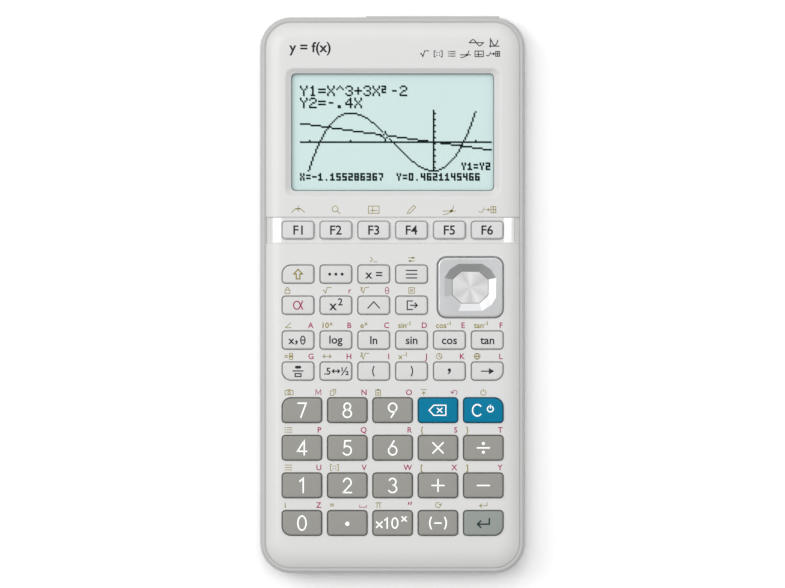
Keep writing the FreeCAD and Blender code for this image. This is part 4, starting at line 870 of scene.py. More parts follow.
def facets():
    """Flat facets between the dish's rim and floor: each side of the rim meets its nearest corners."""
    rim, floor = at_height(RIM, PAD_TOP), at_height(FLOOR, PAD_TOP - DISH_DEPTH)
    points = np.concatenate([rim, floor])
    count = len(rim)
    nearest = nearest_corner(RIM, FLOOR)
    triangles = []
    for i in range(count):
        a, b = nearest[i], nearest[(i + 1) % count]
        triangles.append((i, (i + 1) % count, count + b))
        if a != b:
            triangles.append((i, count + b, count + a))
    return points + np.array([*PAD_MIDDLE, 0]), np.array(triangles)


def pad_surfaces():
    """Underside, walls and top as one ring; facets; and the dish's floor as rings about its middle."""

    def loop(grow):
        return rounded_loop(PAD_MIDDLE, PAD_HALF + grow, PAD_CORNER + grow, arc=14, side=12)

    foot, flange_top = pad_low[2], pad_low[2] + PAD_FLANGE_HEIGHT
    section = [(-PAD_WALL, PAD_CEILING), (-PAD_WALL, foot), (PAD_FLANGE, foot), (PAD_FLANGE, flange_top),
               (0, flange_top)]
    rows = [at_height(np.broadcast_to(PAD_MIDDLE, loop(0).shape), PAD_CEILING)]
    rows += [at_height(loop(grow), height) for grow, height in section]
    for angle in np.radians(np.linspace(0, 90, 14)):
        height = PAD_TOP - PAD_EDGE + PAD_EDGE * np.sin(angle)
        rows.append(at_height(loop(PAD_EDGE * (np.cos(angle) - 1)), height))
    edge = loop(-FLAT_TOP_STARTS)
    rows.append(at_height(edge, PAD_TOP))
    rows.append(at_height(RIM[nearest_corner(edge - PAD_MIDDLE, RIM)] + PAD_MIDDLE, PAD_TOP))
    angle = np.arange(96) / 96 * 2 * np.pi
    circle = np.stack([np.cos(angle), np.sin(angle)], -1)
    floor = [at_height(FLOOR[nearest_corner(circle, FLOOR)] + PAD_MIDDLE, PAD_TOP - DISH_DEPTH)]
    floor += [at_height(PAD_MIDDLE + circle * radius, PAD_TOP - DISH_DEPTH) for radius in FLOOR_RADII]
    return [skin(rows), facets(), skin(floor)]


print("facets:", len(facets()[1]))

# %% [markdown]
# ## Spun metal
# The floor of the dish is turned on a lathe, so it carries fine circles. Light reflected by circles
# gathers into soft wedges that meet at the middle. The circles themselves are far too fine to see, so
# the wedges are painted into the base colour as a gradient round the centre: a painted reflection. A
# ring pattern adds the fine relief. The flat top is brushed instead, which a stretched noise does well.

# %% Pad materials
# greys of the wedges of painted reflection, one for each twelfth of a turn round the pad's middle
PAINTED_REFLECTION_LEVELS = (0.84, 0.72, 0.88, 0.7, 0.95, 0.76, 0.86, 0.68, 0.8, 0.95, 0.72, 0.86)
RINGS_PER_METRE = 1500.0
SCRATCHES_PER_METRE = (300.0, 9000.0, 300.0)


def spun_metal():
    """Wedges of painted reflection in the base colour round the pad's middle, relief from the distance to it.
    """
    material = moulded("spun_metal", linear(214, 215, 216), 0.3, drift=0.08, spread=0.12, grains=5000,
                       depth=0.002)
    nodes, link = material.node_tree.nodes, material.node_tree.links.new
    shader = nodes["Principled BSDF"]
    shader.inputs["Metallic"].default_value = 0.5
    place, centre = nodes.new("ShaderNodeTexCoord"), nodes.new("ShaderNodeMapping")
    centre.inputs["Location"].default_value = (-PAD_MIDDLE[0] * MM, -PAD_MIDDLE[1] * MM, 0)
    link(place.outputs["Object"], centre.inputs["Vector"])
    turn = nodes.new("ShaderNodeTexGradient")
    turn.gradient_type = "RADIAL"
    link(centre.outputs["Vector"], turn.inputs["Vector"])
    painted_wedges = nodes.new("ShaderNodeValToRGB")
    stops = painted_wedges.color_ramp.elements
    while len(stops) < len(PAINTED_REFLECTION_LEVELS) + 1:
        stops.new(0.5)
    for i, grey in enumerate(PAINTED_REFLECTION_LEVELS + PAINTED_REFLECTION_LEVELS[:1]):
        stops[i].position = i / len(PAINTED_REFLECTION_LEVELS)
        stops[i].color = (grey, grey, grey, 1)
    link(turn.outputs["Fac"], painted_wedges.inputs["Fac"])
    link(painted_wedges.outputs["Color"], shader.inputs["Base Color"])
    rings = nodes.new("ShaderNodeTexWave")
    rings.wave_type, rings.rings_direction = "RINGS", "Z"
    rings.inputs["Scale"].default_value = RINGS_PER_METRE
    link(centre.outputs["Vector"], rings.inputs["Vector"])
    link(rings.outputs["Fac"], nodes["Bump"].inputs["Height"])
    return material


def brushed_metal():
    """Long fine scratches: noise stretched along x."""
    material = moulded("brushed_metal", linear(222, 223, 224), 0.3, drift=0.16, spread=0.15, depth=0.003)
    nodes, link = material.node_tree.nodes, material.node_tree.links.new
    nodes["Principled BSDF"].inputs["Metallic"].default_value = 0.55
    place, stretch = nodes.new("ShaderNodeTexCoord"), nodes.new("ShaderNodeMapping")
    stretch.inputs["Scale"].default_value = SCRATCHES_PER_METRE
    scratches = nodes.new("ShaderNodeTexNoise")
    scratches.inputs["Scale"].default_value = 1.0
    link(place.outputs["Object"], stretch.inputs["Vector"])
    link(stretch.outputs["Vector"], scratches.inputs["Vector"])
    link(scratches.outputs["Fac"], nodes["Bump"].inputs["Height"])
    return material


# %% The pad, with a finish for each kind of face
RIM_REACH = 8.2  # half the side of a square that holds the dish
pad_piece = piece("cursor_pad_cap", pad_surfaces(), brushed_metal(), "cursor_top", ["cursor_pad"],
                  smooth=7.5)
cut_metal = moulded("cut_metal", linear(206, 207, 208), 0.32, grains=5000, depth=0.001, Metallic=0.8)
centres = face_values(pad_piece.data, "center") / MM
facing_up = face_values(pad_piece.data, "normal")[:, 2]
on_floor = (np.abs(centres[:, 2] - (PAD_TOP - DISH_DEPTH)) < 1e-3) & (facing_up > 0.9)
below_top = (centres[:, 2] < PAD_TOP - 0.02) & (facing_up > 0.5)
inside_rim = np.abs(centres[:, :2] - PAD_MIDDLE).max(1) < RIM_REACH
on_facets = below_top & ~on_floor & inside_rim
give_materials(pad_piece, [spun_metal(), cut_metal], on_floor + 2 * on_facets)
print("pad faces:", len(centres), "spun:", int(on_floor.sum()), "cut:", int(on_facets.sum()))

# %% [markdown]
# ## What the display shows
# A liquid crystal display switches small square dots. The picture is therefore a table of on and off,
# 127 dots wide and 63 high, filled the way the calculator itself does it: letters come from a dot
# font, axes are rows and columns, and a curve is its height worked out for each column. A vertical run
# of dots joins neighbouring columns where the curve is steep.

# %% Dot fonts
LARGE_FONT = {  # five dots wide, seven high
    "Y": "10001 10001 01010 00100 00100 00100 00100", "X": "10001 10001 01010 00100 01010 10001 10001",
    "1": "00100 01100 00100 00100 00100 00100 01110", "2": "01110 10001 00001 00110 01000 10000 11111",
    "3": "01110 10001 00001 00110 00001 10001 01110", "4": "00010 00110 01010 10010 11111 00010 00010",
    "=": "00000 00000 11111 00000 11111 00000 00000", "+": "00000 00100 00100 11111 00100 00100 00000",
    "-": "00000 00000 00000 01110 00000 00000 00000", ".": "00000 00000 00000 00000 00000 01100 01100",
    "^": "00100 01010 10001 00000 00000 00000 00000", "²": "11100 00100 11100 10000 11100 00000 00000",
}
SMALL_FONT = {  # three dots wide, five high
    "0": "111 101 101 101 111", "1": "010 110 010 010 111", "2": "111 001 111 100 111",
    "3": "111 001 111 001 111", "4": "101 101 111 001 001", "5": "111 100 111 001 111",
    "6": "111 100 111 101 111", "7": "111 001 001 010 010", "8": "111 101 111 101 111",
    "9": "111 101 111 001 111", "X": "101 101 010 101 101", "Y": "101 101 010 010 010",
    "=": "000 111 000 111 000", "-": "000 000 111 000 000", ".": "000 000 000 000 010",
}
DOTS_WIDE, DOTS_HIGH = 127, 63
SECOND_LINE = 8
dots = np.zeros((DOTS_HIGH, DOTS_WIDE), bool)


def write(text, font, column, row):
    """Switches on the dots of a line of text; letters stand one dot apart."""
    for letter in text:
        glyph = np.array([[dot == "1" for dot in line] for line in font[letter].split()])
        dots[row:row + glyph.shape[0], column:column + glyph.shape[1]] |= glyph
        column += glyph.shape[1] + 1


write("Y1=X^3+3X²-2", LARGE_FONT, 0, 0)
write("Y2=-.4X", LARGE_FONT, 0, SECOND_LINE)
print("dots switched on by the formulas:", dots.sum())

# %% Axes, curve, line and cursor
AXIS_COLUMN, AXIS_ROW = 88, 37
DOTS_PER_X, DOTS_PER_Y = 27.5, 9.6
GRAPH_TOP, GRAPH_BOTTOM = 17, 56
TICK_SPACING = 4
READOUT_ROW, READOUT_MIDDLE = 58, 64
CAPTION_ROW, CAPTION_COLUMN = 51, 107
CURSOR_REACH = 3


def cubic(x):
    return x**3 + 3 * x**2 - 2


def straight(x):
    return -0.4 * x


def plot(function):
    """For each column, the dots between the function's heights half a column to each side."""
    edges = (np.arange(DOTS_WIDE + 1) - 0.5 - AXIS_COLUMN) / DOTS_PER_X
    height = AXIS_ROW - function(edges) * DOTS_PER_Y
    low, high = np.minimum(height[:-1], height[1:]), np.maximum(height[:-1], height[1:])
    rows = np.arange(DOTS_HIGH)[:, None]
    shown = (rows >= np.round(low)) & (rows <= np.maximum(np.round(low), np.round(high) - 1))
    return shown & (rows >= GRAPH_TOP) & (rows <= GRAPH_BOTTOM)


dots |= plot(cubic) | plot(straight)
dots[AXIS_ROW] = True
dots[GRAPH_TOP - 1:GRAPH_BOTTOM, AXIS_COLUMN] = True
dots[GRAPH_TOP + 1:GRAPH_BOTTOM:TICK_SPACING, AXIS_COLUMN + 1] = True
dots[AXIS_ROW - 1, [round(AXIS_COLUMN + DOTS_PER_X * i) for i in (-3, -2, -1, 1)]] = True

meetings = np.sort(np.roots([1, 3, 0.4, -2]).real)  # cubic less straight: x^3 + 3 x^2 + 0.4 x - 2
meeting = float(meetings[1])
column, row = round(AXIS_COLUMN + meeting * DOTS_PER_X), round(AXIS_ROW - straight(meeting) * DOTS_PER_Y)
y, x = np.mgrid[-CURSOR_REACH:CURSOR_REACH + 1, -CURSOR_REACH:CURSOR_REACH + 1]
reach = np.abs(x) + np.abs(y)
around = np.s_[row - CURSOR_REACH:row + CURSOR_REACH + 1, column - CURSOR_REACH:column + CURSOR_REACH + 1]
dots[around] &= (reach > CURSOR_REACH) | (reach == 0)
dots[around] |= (reach == CURSOR_REACH - 1) | ((x == 0) | (y == 0)) & (reach == CURSOR_REACH)
write(f"X={meeting:.9f}", SMALL_FONT, 0, READOUT_ROW)
write(f"Y={straight(meeting):.10f}", SMALL_FONT, READOUT_MIDDLE, READOUT_ROW)
write("Y1=Y2", SMALL_FONT, CAPTION_COLUMN, CAPTION_ROW)
print("they meet at", round(meeting, 6), "dots on:", int(dots.sum()))

# %% [markdown]
# ## The display itself
# The glass is a pale green-grey plate with the dots on it. Each dot that is on becomes a tiny tile of
# its own. As real geometry the picture stays crisp at any distance, and needs no image. All the tiles
# are made at once: one tile's eight corners are added to every dot's place. The liquid lies in front of
# a reflector, so each dot throws a soft grey shadow on it; that is a second, paler set of tiles, a
# little lower and a third of a dot to the side.

# %% Glass and dots
glass_low, glass_high = span("lcd_panel")
DOT_PITCH = 0.475
DOT_SIZE = 0.47
DOT_FOOT, DOT_HEAD = 0.015, 0.04  # above the glass
SHADOW_FOOT, SHADOW_HEAD = -0.01, 0.01
SHADOW_SHIFT = (0.15, -0.15)
DOTS_LEFT, DOTS_TOP = -29.2, 66.05
GLASS_TOP = glass_high[2]
GLASS_CORNER = 0.5
LCD_GLASS = moulded("lcd_glass", linear(221, 245, 243), 0.3, drift=0.02, grains=1500, depth=0.001)
LCD_SHADE = moulded("lcd_shade", linear(104, 132, 130), 0.45, grains=1500, depth=0.001,
                    Specular_IOR_Level=0.1)
LCD_INK = moulded("lcd_ink", linear(8, 18, 20), 0.45, grains=1500, depth=0.001, Specular_IOR_Level=0.1)


def slab(low, high, corner, edge=0.1):
    """A plate with a rounded outline and a slightly rounded upper edge.

    One more ring on top keeps the roundness out of the flat part's shading."""
    middle, half = (low[:2] + high[:2]) / 2, (high[:2] - low[:2]) / 2

    def loop(grow):
        return rounded_loop(middle, half + grow, corner, arc=4, side=4)

    centre = np.broadcast_to(middle, loop(0).shape)
    rows = [(centre, low[2]), (loop(0), low[2]), (loop(0), high[2] - edge),
            (loop(-0.3 * edge), high[2] - 0.3 * edge), (loop(-edge), high[2]), (loop(-3 * edge), high[2]),
            (centre, high[2])]
    return skin([at_height(plan, height) for plan, height in rows])


def tiles(on, size, bottom, top, shift=(0.0, 0.0)):
    """Eight corners and six faces for every true entry of a table."""
    row, column = np.nonzero(on)
    x = DOTS_LEFT + (column + 0.5) * DOT_PITCH + shift[0]
    y = DOTS_TOP - (row + 0.5) * DOT_PITCH + shift[1]
    corner = np.array([(i, j, k) for k in (0, 1) for j in (-0.5, 0.5) for i in (-0.5, 0.5)])
    points = np.stack([x, y, np.full(len(x), bottom)], -1)[:, None] + corner * (size, size, top - bottom)
    sides = np.array([(0, 2, 3, 1), (4, 5, 7, 6), (0, 1, 5, 4), (1, 3, 7, 5), (3, 2, 6, 7), (2, 0, 4, 6)])
    return points.reshape(-1, 3), (sides + np.arange(len(x))[:, None, None] * 8).reshape(-1, 4)


plate = slab(glass_low, glass_high, GLASS_CORNER)
shown = tiles(dots, DOT_SIZE, GLASS_TOP + DOT_FOOT, GLASS_TOP + DOT_HEAD)
shadows = tiles(dots, DOT_SIZE, GLASS_TOP + SHADOW_FOOT, GLASS_TOP + SHADOW_HEAD, SHADOW_SHIFT)
piece("lcd_glass_plate", [plate], LCD_GLASS, replaces=["lcd_panel"])
piece("lcd_dots", [shown], LCD_INK, smooth=20)
piece("lcd_dot_shadows", [shadows], LCD_SHADE, smooth=20)
print("display from", np.round(glass_low, 2), "to", np.round(glass_high, 2))

# %% [markdown]
# ## Legends: strokes
# Every legend is a thin layer of ink, so it is modelled as a very flat solid that lies on its surface.
# Big figures and symbols are drawn as a pen would draw them: a path with a width and round ends. The
# path's normals give its two sides; at a bend they are lengthened so that the line keeps its width.
# Heights run from 0 under the surface to 1 on top of the ink until the legend is laid in its place.

# %% A pen stroke
END_ANGLES = np.radians([75, 50, 25])  # of a stroke's half-round end
SHARPEST = 0.45  # keeps the sides of a very sharp bend from shooting out


def resampled(path, step):
    """The same path with extra points, so that none lies further than step from the next."""
    length = np.append(0, np.cumsum(np.linalg.norm(np.diff(path, axis=0), axis=1)))
    extra = np.linspace(0, length[-1], max(2, int(length[-1] / step) + 1))
    places = np.unique(np.round(np.append(length, extra), 5))
    places = places[np.append(True, np.diff(places) > 0.15 * step) | np.isin(places, np.round(length, 5))]
    return np.stack([np.interp(places, length, path[:, i]) for i in (0, 1)], -1)


def stroke(path, width, step=0.35):
    """Both sides of a path at half the width along its normals, with half-round ends, as a closed solid."""
    path = resampled(path, step)
    ahead = np.diff(path, axis=0)
    ahead /= np.maximum(np.linalg.norm(ahead, axis=1, keepdims=True), 1e-9)
    closed = np.allclose(path[0], path[-1])
    before = np.concatenate([ahead[-1:] if closed else ahead[:1], ahead])
    after = np.concatenate([ahead, ahead[:1] if closed else ahead[-1:]])
    along = before + after
    along /= np.maximum(np.linalg.norm(along, axis=1, keepdims=True), 1e-9)
    stretch = 1 / np.maximum((along * after).sum(1), SHARPEST)
    middle, half = path, width / 2 * stretch
    if not closed:
        steps, out = np.cos(END_ANGLES), np.sin(END_ANGLES)
        head = path[0] - along[0] * width / 2 * np.append(1, out)[:, None]
        tail = path[-1] + along[-1] * width / 2 * np.append(out[::-1], 1)[:, None]
        middle = np.concatenate([head, path, tail])
        half = np.concatenate([np.append(0, steps), half, np.append(steps[::-1], 0)])
        half[1:1 + len(steps)] *= width / 2
        half[-1 - len(steps):-1] *= width / 2
        ends = len(END_ANGLES) + 1
        along = np.concatenate([np.repeat(along[:1], ends, 0), along, np.repeat(along[-1:], ends, 0)])
    across = np.stack([-along[:, 1], along[:, 0]], -1) * half[:, None]
    left, right = middle + across, middle - across
    sides = [at_height(left, 0), at_height(right, 0), at_height(right, 1), at_height(left, 1)]
    return skin(np.stack(sides, 1))


def line(*points):
    return np.array(points, float)


def arc(x, y, rx, ry, start, end, steps=18):
    """Part of an ellipse about (x, y), from one angle to another."""
    angle = np.radians(np.linspace(start, end, steps + 1))
    return np.stack([x + rx * np.cos(angle), y + ry * np.sin(angle)], -1)


def frame_line(x0, y0, x1, y1):
    return line((x0, y0), (x1, y0), (x1, y1), (x0, y1), (x0, y0))


def dot(x, y, radius):
    """A disc: a path too short to see with a pen as wide as the disc."""
    return line((x - 0.001, y), (x + 0.001, y)), 2 * radius


print("a ring drawn with a pen has", len(stroke(arc(0, 0, 1, 1, 0, 360), 0.1)[0]), "points")

# %% [markdown]
# ## Figures and signs
# The figures are one pen line each, made of straight bits and parts of ellipses, in a box one high and
# standing on zero. The signs are drawn about zero instead. A key that does something rather than
# writes something gets a plain sign of it: a frame with axes for the graph window, a padlock for the
# letter lock and so on.

# %% Figures
FIGURES = {
    "0": [arc(0.31, 0.5, 0.29, 0.5, 90, 450, 30)],
    "1": [line((0.16, 0.8), (0.4, 1.0), (0.4, 0.0))],
    "2": [np.concatenate([arc(0.31, 0.71, 0.27, 0.29, 168, -32), line((0.03, 0.0), (0.61, 0.0))])],
    "3": [arc(0.3, 0.76, 0.24, 0.24, 155, -90), arc(0.3, 0.26, 0.29, 0.26, 90, -155)],
    "4": [line((0.47, 0.0), (0.47, 1.0), (0.0, 0.26), (0.64, 0.26))],
    "5": [np.concatenate([line((0.55, 1.0), (0.15, 1.0), (0.1, 0.54)),
                          arc(0.29, 0.31, 0.3, 0.31, 118, -150)])],
    "6": [np.concatenate([line((0.41, 1.0), (0.1, 0.49)), arc(0.31, 0.31, 0.29, 0.31, 144, 504, 26)])],
    "7": [line((0.03, 1.0), (0.6, 1.0), (0.23, 0.0))],
    "8": [arc(0.31, 0.765, 0.23, 0.235, 90, 450, 24), arc(0.31, 0.265, 0.29, 0.265, 90, 450, 26)],
}
FIGURES["9"] = [(0.62, 1.0) - path for path in FIGURES["6"]]
print("figures:", " ".join(FIGURES))

# %% Signs
THETA = [arc(0, 0, 0.27, 0.5, 0, 360, 24), line((-0.24, 0), (0.24, 0))]
ROOT = line((-0.62, -0.02), (-0.46, 0.06), (-0.24, -0.42), (0.04, 0.45), (0.62, 0.45))
TURN = arc(0, -0.05, 0.36, 0.36, 200, -60)
SIGNS_DRAWN = {
    "plus": [line((-0.5, 0), (0.5, 0)), line((0, -0.5), (0, 0.5))],
    "minus": [line((-0.5, 0), (0.5, 0))],
    "times": [line((-0.44, -0.44), (0.44, 0.44)), line((-0.44, 0.44), (0.44, -0.44))],
    "divide": [line((-0.5, 0), (0.5, 0)), dot(0, 0.36, 0.13), dot(0, -0.36, 0.13)],
    "point": [dot(0, 0, 0.5)],
    "open_bracket": [arc(0.62, 0, 0.72, 0.85, 144, 216)],
    "close_bracket": [arc(-0.62, 0, 0.72, 0.85, -36, 36)],
    "comma": [dot(0, 0.02, 0.15), line((0.09, 0.0), (0.06, -0.16), (-0.1, -0.3))],
    "up_arrow": [line((-0.42, 0.02), (0, 0.48), (0.42, 0.02), (0.18, 0.02), (0.18, -0.46), (-0.18, -0.46),
                      (-0.18, 0.02), (-0.42, 0.02))],
    "three_dots": [dot(-0.5, 0, 0.12), dot(0, 0, 0.12), dot(0.5, 0, 0.12)],
    "bars": [line((-0.5, y), (0.5, y)) for y in (-0.36, 0, 0.36)],
    "caret": [line((-0.5, -0.25), (0, 0.3), (0.5, -0.25))],
    "leave": [line((0.1, 0.45), (-0.45, 0.45), (-0.45, -0.45), (0.1, -0.45)), line((-0.12, 0), (0.6, 0)),
              line((0.35, 0.24), (0.6, 0), (0.35, -0.24))],
    "right_arrow": [line((-0.8, 0), (0.75, 0)), line((0.3, 0.3), (0.8, 0), (0.3, -0.3), (0.3, 0.3)),
                    (line((0.4, 0), (0.6, 0)), 0.25)],
    "both_arrows": [line((-0.6, 0), (0.6, 0)), line((0.32, 0.26), (0.6, 0), (0.32, -0.26)),
                    line((-0.32, 0.26), (-0.6, 0), (-0.32, -0.26))],
    "fraction": [(line((-0.14, 0.33), (0.14, 0.33)), 0.24), line((-0.42, 0.02), (0.42, 0.02)),
                 frame_line(-0.24, -0.44, 0.24, -0.2)],
    "root": [ROOT],
    "cube_root": [ROOT, *[path * 0.42 + (-0.62, 0.14) for path in FIGURES["3"]]],
    "any_root": [ROOT, line((-0.6, 0.18), (-0.34, 0.5)), line((-0.6, 0.5), (-0.34, 0.18))],
    "alpha": [np.concatenate([line((0.46, 0.42)), arc(-0.12, 0, 0.34, 0.4, 315, 45, 22),
                              line((0.46, -0.42))])],
    "pi": [line((-0.42, 0.34), (0.42, 0.34)), line((-0.17, 0.34), (-0.24, -0.42)),
           line((0.18, 0.34), (0.2, -0.42))],
    "quotes": [(line((-0.16, 0.42), (-0.26, 0.1)), 0.17), (line((0.2, 0.42), (0.1, 0.1)), 0.17)],
    "M": [line((-0.4, -0.42), (-0.36, 0.42), (0, -0.24), (0.36, 0.42), (0.4, -0.42))],
    "theta": THETA,
    "angle": [line((0.38, 0.38), (-0.42, -0.36), (0.46, -0.36))],
    "trace": [arc(0, -0.75, 0.85, 0.85, 150, 30), line((0, -0.18), (0, 0.46)),
              line((-0.32, 0.14), (0.32, 0.14))],
    "magnifier": [arc(-0.1, 0.1, 0.34, 0.34, 0, 360, 24), line((0.15, -0.15), (0.48, -0.48))],
    "window": [frame_line(-0.62, -0.42, 0.62, 0.42), line((-0.4, -0.1), (0.4, -0.1)),
               line((-0.12, -0.28), (-0.12, 0.28))],
    "pencil": [line((-0.5, -0.46), (-0.38, -0.14), (0.26, 0.5), (0.48, 0.28), (-0.16, -0.36), (-0.5, -0.46))],
    "crossing": [line((-0.75, -0.15), (0.75, -0.15)), arc(-0.7, 0.55, 1.2, 1.1, -90, -5),
                 dot(0.23, -0.15, 0.17)],
    "graph_table": [arc(-0.75, 0.5, 0.42, 0.8, -120, -20), line((-0.2, 0), (0.22, 0)),
                    line((0.08, 0.16), (0.24, 0), (0.08, -0.16)), frame_line(0.42, -0.36, 1.0, 0.36),
                    line((0.42, 0), (1.0, 0)), line((0.71, -0.36), (0.71, 0.36))],
    "prompt": [line((-0.5, 0.34), (-0.16, 0.0), (-0.5, -0.34)), line((0.0, -0.36), (0.5, -0.36))],
    "sliders": [line((-0.5, 0.24), (0.5, 0.24)), line((-0.5, -0.24), (0.5, -0.24)), dot(0.2, 0.24, 0.15),
                dot(-0.2, -0.24, 0.15)],
    "padlock": [frame_line(-0.36, -0.45, 0.36, 0.06), arc(0, 0.1, 0.22, 0.36, 0, 180, 12)],
    "close": [frame_line(-0.42, -0.42, 0.42, 0.42), line((-0.18, -0.18), (0.18, 0.18)),
              line((-0.18, 0.18), (0.18, -0.18))],
    "mixed": [frame_line(-0.62, -0.16, -0.3, 0.16), frame_line(0.05, 0.12, 0.5, 0.45),
              line((-0.05, 0), (0.6, 0)), frame_line(0.05, -0.45, 0.5, -0.12)],
    "whole": [arc(0, 0, 0.42, 0.42, 0, 360, 24), line((0, 0), (0, 0.42)), line((0, 0), (0.36, -0.2))],
    "globe": [arc(0, 0, 0.44, 0.44, 0, 360, 24), arc(0, 0, 0.18, 0.44, 0, 360, 20),
              line((-0.44, 0), (0.44, 0))],
    "camera": [frame_line(-0.6, -0.36, 0.6, 0.26), arc(0, -0.06, 0.18, 0.18, 0, 360, 18),
               line((-0.2, 0.4), (0.2, 0.4))],
    "pages": [frame_line(-0.4, -0.45, 0.14, 0.22), line((-0.14, 0.45), (0.4, 0.45), (0.4, -0.22))],
    "clipboard": [frame_line(-0.36, -0.46, 0.36, 0.34), (line((-0.12, 0.36), (0.12, 0.36)), 0.2),
                  line((-0.16, -0.02), (0.16, -0.02)), line((-0.16, -0.22), (0.16, -0.22))],
    "insert": [line((0, -0.45), (0, 0.1)), line((-0.26, -0.2), (0, 0.1), (0.26, -0.2)),
               line((-0.4, 0.4), (0.4, 0.4))],
    "undo": [TURN, line((-0.6, 0.1), (-0.34, -0.18), (-0.06, 0.06))],
    "power": [arc(0, -0.04, 0.4, 0.4, 60, -240, 24), line((0, 0.08), (0, 0.48))],
    "list": [line((-0.28, y), (0.5, y)) for y in (-0.34, 0, 0.34)]
            + [dot(-0.5, y, 0.08) for y in (-0.34, 0, 0.34)],
    "matrix": [line((-0.4, 0.45), (-0.6, 0.45), (-0.6, -0.45), (-0.4, -0.45)),
               line((0.4, 0.45), (0.6, 0.45), (0.6, -0.45), (0.4, -0.45))]
              + [dot(x, y, 0.09) for x in (-0.2, 0.2) for y in (-0.2, 0.2)],
    "gap": [line((-0.5, 0.0), (-0.5, -0.32), (0.5, -0.32), (0.5, 0.0))],
    "again": [arc(0, 0, 0.38, 0.38, 60, 370, 24), line((0.56, 0.3), (0.4, -0.02), (0.12, 0.12))],
    "enter": [line((0.55, 0.42), (0.55, -0.1), (-0.55, -0.1)),
              line((-0.24, 0.2), (-0.55, -0.1), (-0.24, -0.4))],
    "erase": [line((-0.85, 0), (-0.4, 0.48), (0.75, 0.48), (0.75, -0.48), (-0.4, -0.48), (-0.85, 0)),
              line((-0.06, -0.2), (0.38, 0.2)), line((-0.06, 0.2), (0.38, -0.2))],
    "clear": [arc(0, 0, 0.42, 0.5, 45, 315, 26)],
    "negative": [arc(0.0, 0, 0.72, 0.85, 144, 216), arc(0.0, 0, 0.72, 0.85, -36, 36),
                 line((-0.28, 0), (0.28, 0))],
}


def drawn(paths, height, pen, shift=(0.0, 0.0)):
    """The solids of several strokes; a path may bring its own width in place of the pen's."""
    shapes = []
    for path in paths:
        path, width = path if isinstance(path, tuple) else (path, pen / height)
        shapes.append(stroke((path + shift) * height, width * height))
    return shapes


print("signs:", len(SIGNS_DRAWN))

# %% [markdown]
# ## Legends: letters
# Letters and function names come from the built-in font. A text curve with a little extrusion becomes
# a mesh of a front, a back and sides, which is the same flat solid as the strokes. The font's own
# height is measured once on a capital, so that a legend can be asked for by its cap height. A caret
# in the text lifts what follows it and makes it smaller, for powers.

# %% Text as a flat solid
RAISED_SIZE, RAISED_BY, RAISED_GAP = 0.72, 0.5, 0.1  # shares of the line's size and cap height
BOLD_SHARE = 0.16
CURVE_STEPS = 3
LONGEST_EDGE = 0.2
HALVINGS = 2


def halve_long_edges(mesh, size):
    """Cuts the flat faces finer, so that a long letter can follow a curved surface."""
    work = bmesh.new()
    work.from_mesh(mesh)
    bmesh.ops.remove_doubles(work, verts=work.verts, dist=1e-5 * size)
    for _ in range(HALVINGS):
        flat = [e for e in work.edges if abs(e.verts[0].co.z - e.verts[1].co.z) < 0.5]
        long_edges = [e for e in flat if e.calc_length() > LONGEST_EDGE * size]
        bmesh.ops.subdivide_edges(work, edges=long_edges, cuts=1)
        bmesh.ops.triangulate(work, faces=work.faces)
    work.to_mesh(mesh)
    work.free()


def text_shape(body, size, bold=0.0):
    """(points, triangles) of a text on a baseline at zero, heights 0 to 1; bold widens its strokes."""
    curve = bpy.data.curves.new("lettering", "FONT")
    curve.body, curve.size, curve.extrude, curve.resolution_u = body, size, 0.5, CURVE_STEPS
    curve.offset = bold
    holder = add_object("lettering", curve)
    bpy.context.view_layer.update()
    mesh = bpy.data.meshes.new_from_object(holder.evaluated_get(bpy.context.evaluated_depsgraph_get()))
    halve_long_edges(mesh, size)
    mesh.calc_loop_triangles()
    points, triangles = np.empty(len(mesh.vertices) * 3), np.empty(len(mesh.loop_triangles) * 3, np.int32)
    mesh.vertices.foreach_get("co", points)
    mesh.loop_triangles.foreach_get("vertices", triangles)
    bpy.data.objects.remove(holder)
    bpy.data.curves.remove(curve)
    bpy.data.meshes.remove(mesh)
    return points.reshape(-1, 3) + (0, 0, 0.5), triangles.reshape(-1, 3)


CAPITAL = np.ptp(text_shape("H", 1.0)[0][:, 1])


def lettered(text, cap, bold):
    """A line of text of the given cap height, its middle at zero."""
    shapes, x = [], 0.0
    for i, part in enumerate(text.split("^")):
        points, triangles = text_shape(part, cap / CAPITAL * (RAISED_SIZE if i else 1.0), bold)
        points[:, 0] += x - points[:, 0].min() + (RAISED_GAP * cap if i else 0)
        points[:, 1] += RAISED_BY * cap if i else 0
        x = points[:, 0].max()
        shapes.append((points, triangles))
    return [(p - (x / 2, cap / 2, 0), t) for p, t in shapes]


def legend(what, height, pen):
    """A sign, a figure or a text, by its name, centred on zero."""
    if what in SIGNS_DRAWN:
        return drawn(SIGNS_DRAWN[what], height, pen)
    if what in FIGURES:
        return drawn(FIGURES[what], height - pen, pen, (-0.31, -0.5))
    return lettered(what, height, BOLD_SHARE * pen)


print("cap height of the font at size 1:", round(float(CAPITAL), 3))

# %% Laying ink on a surface
INK_RISE, INK_SINK = 0.03, 0.04


def laid(shapes, middle, height):
    """Moves flat solids to their place: a point's height is the surface's there, plus or minus the ink's."""
    placed = []
    for points, faces in shapes:
        plan = points[:, :2] + middle
        lifted = height(plan) - INK_SINK + points[:, 2] * (INK_RISE + INK_SINK)
        placed.append((at_height(plan, lifted), faces))
    return placed


def ink(name, colour):
    return moulded(name, colour, 0.45, drift=0.03, grains=9000, depth=0.001, Specular_IOR_Level=0.2)


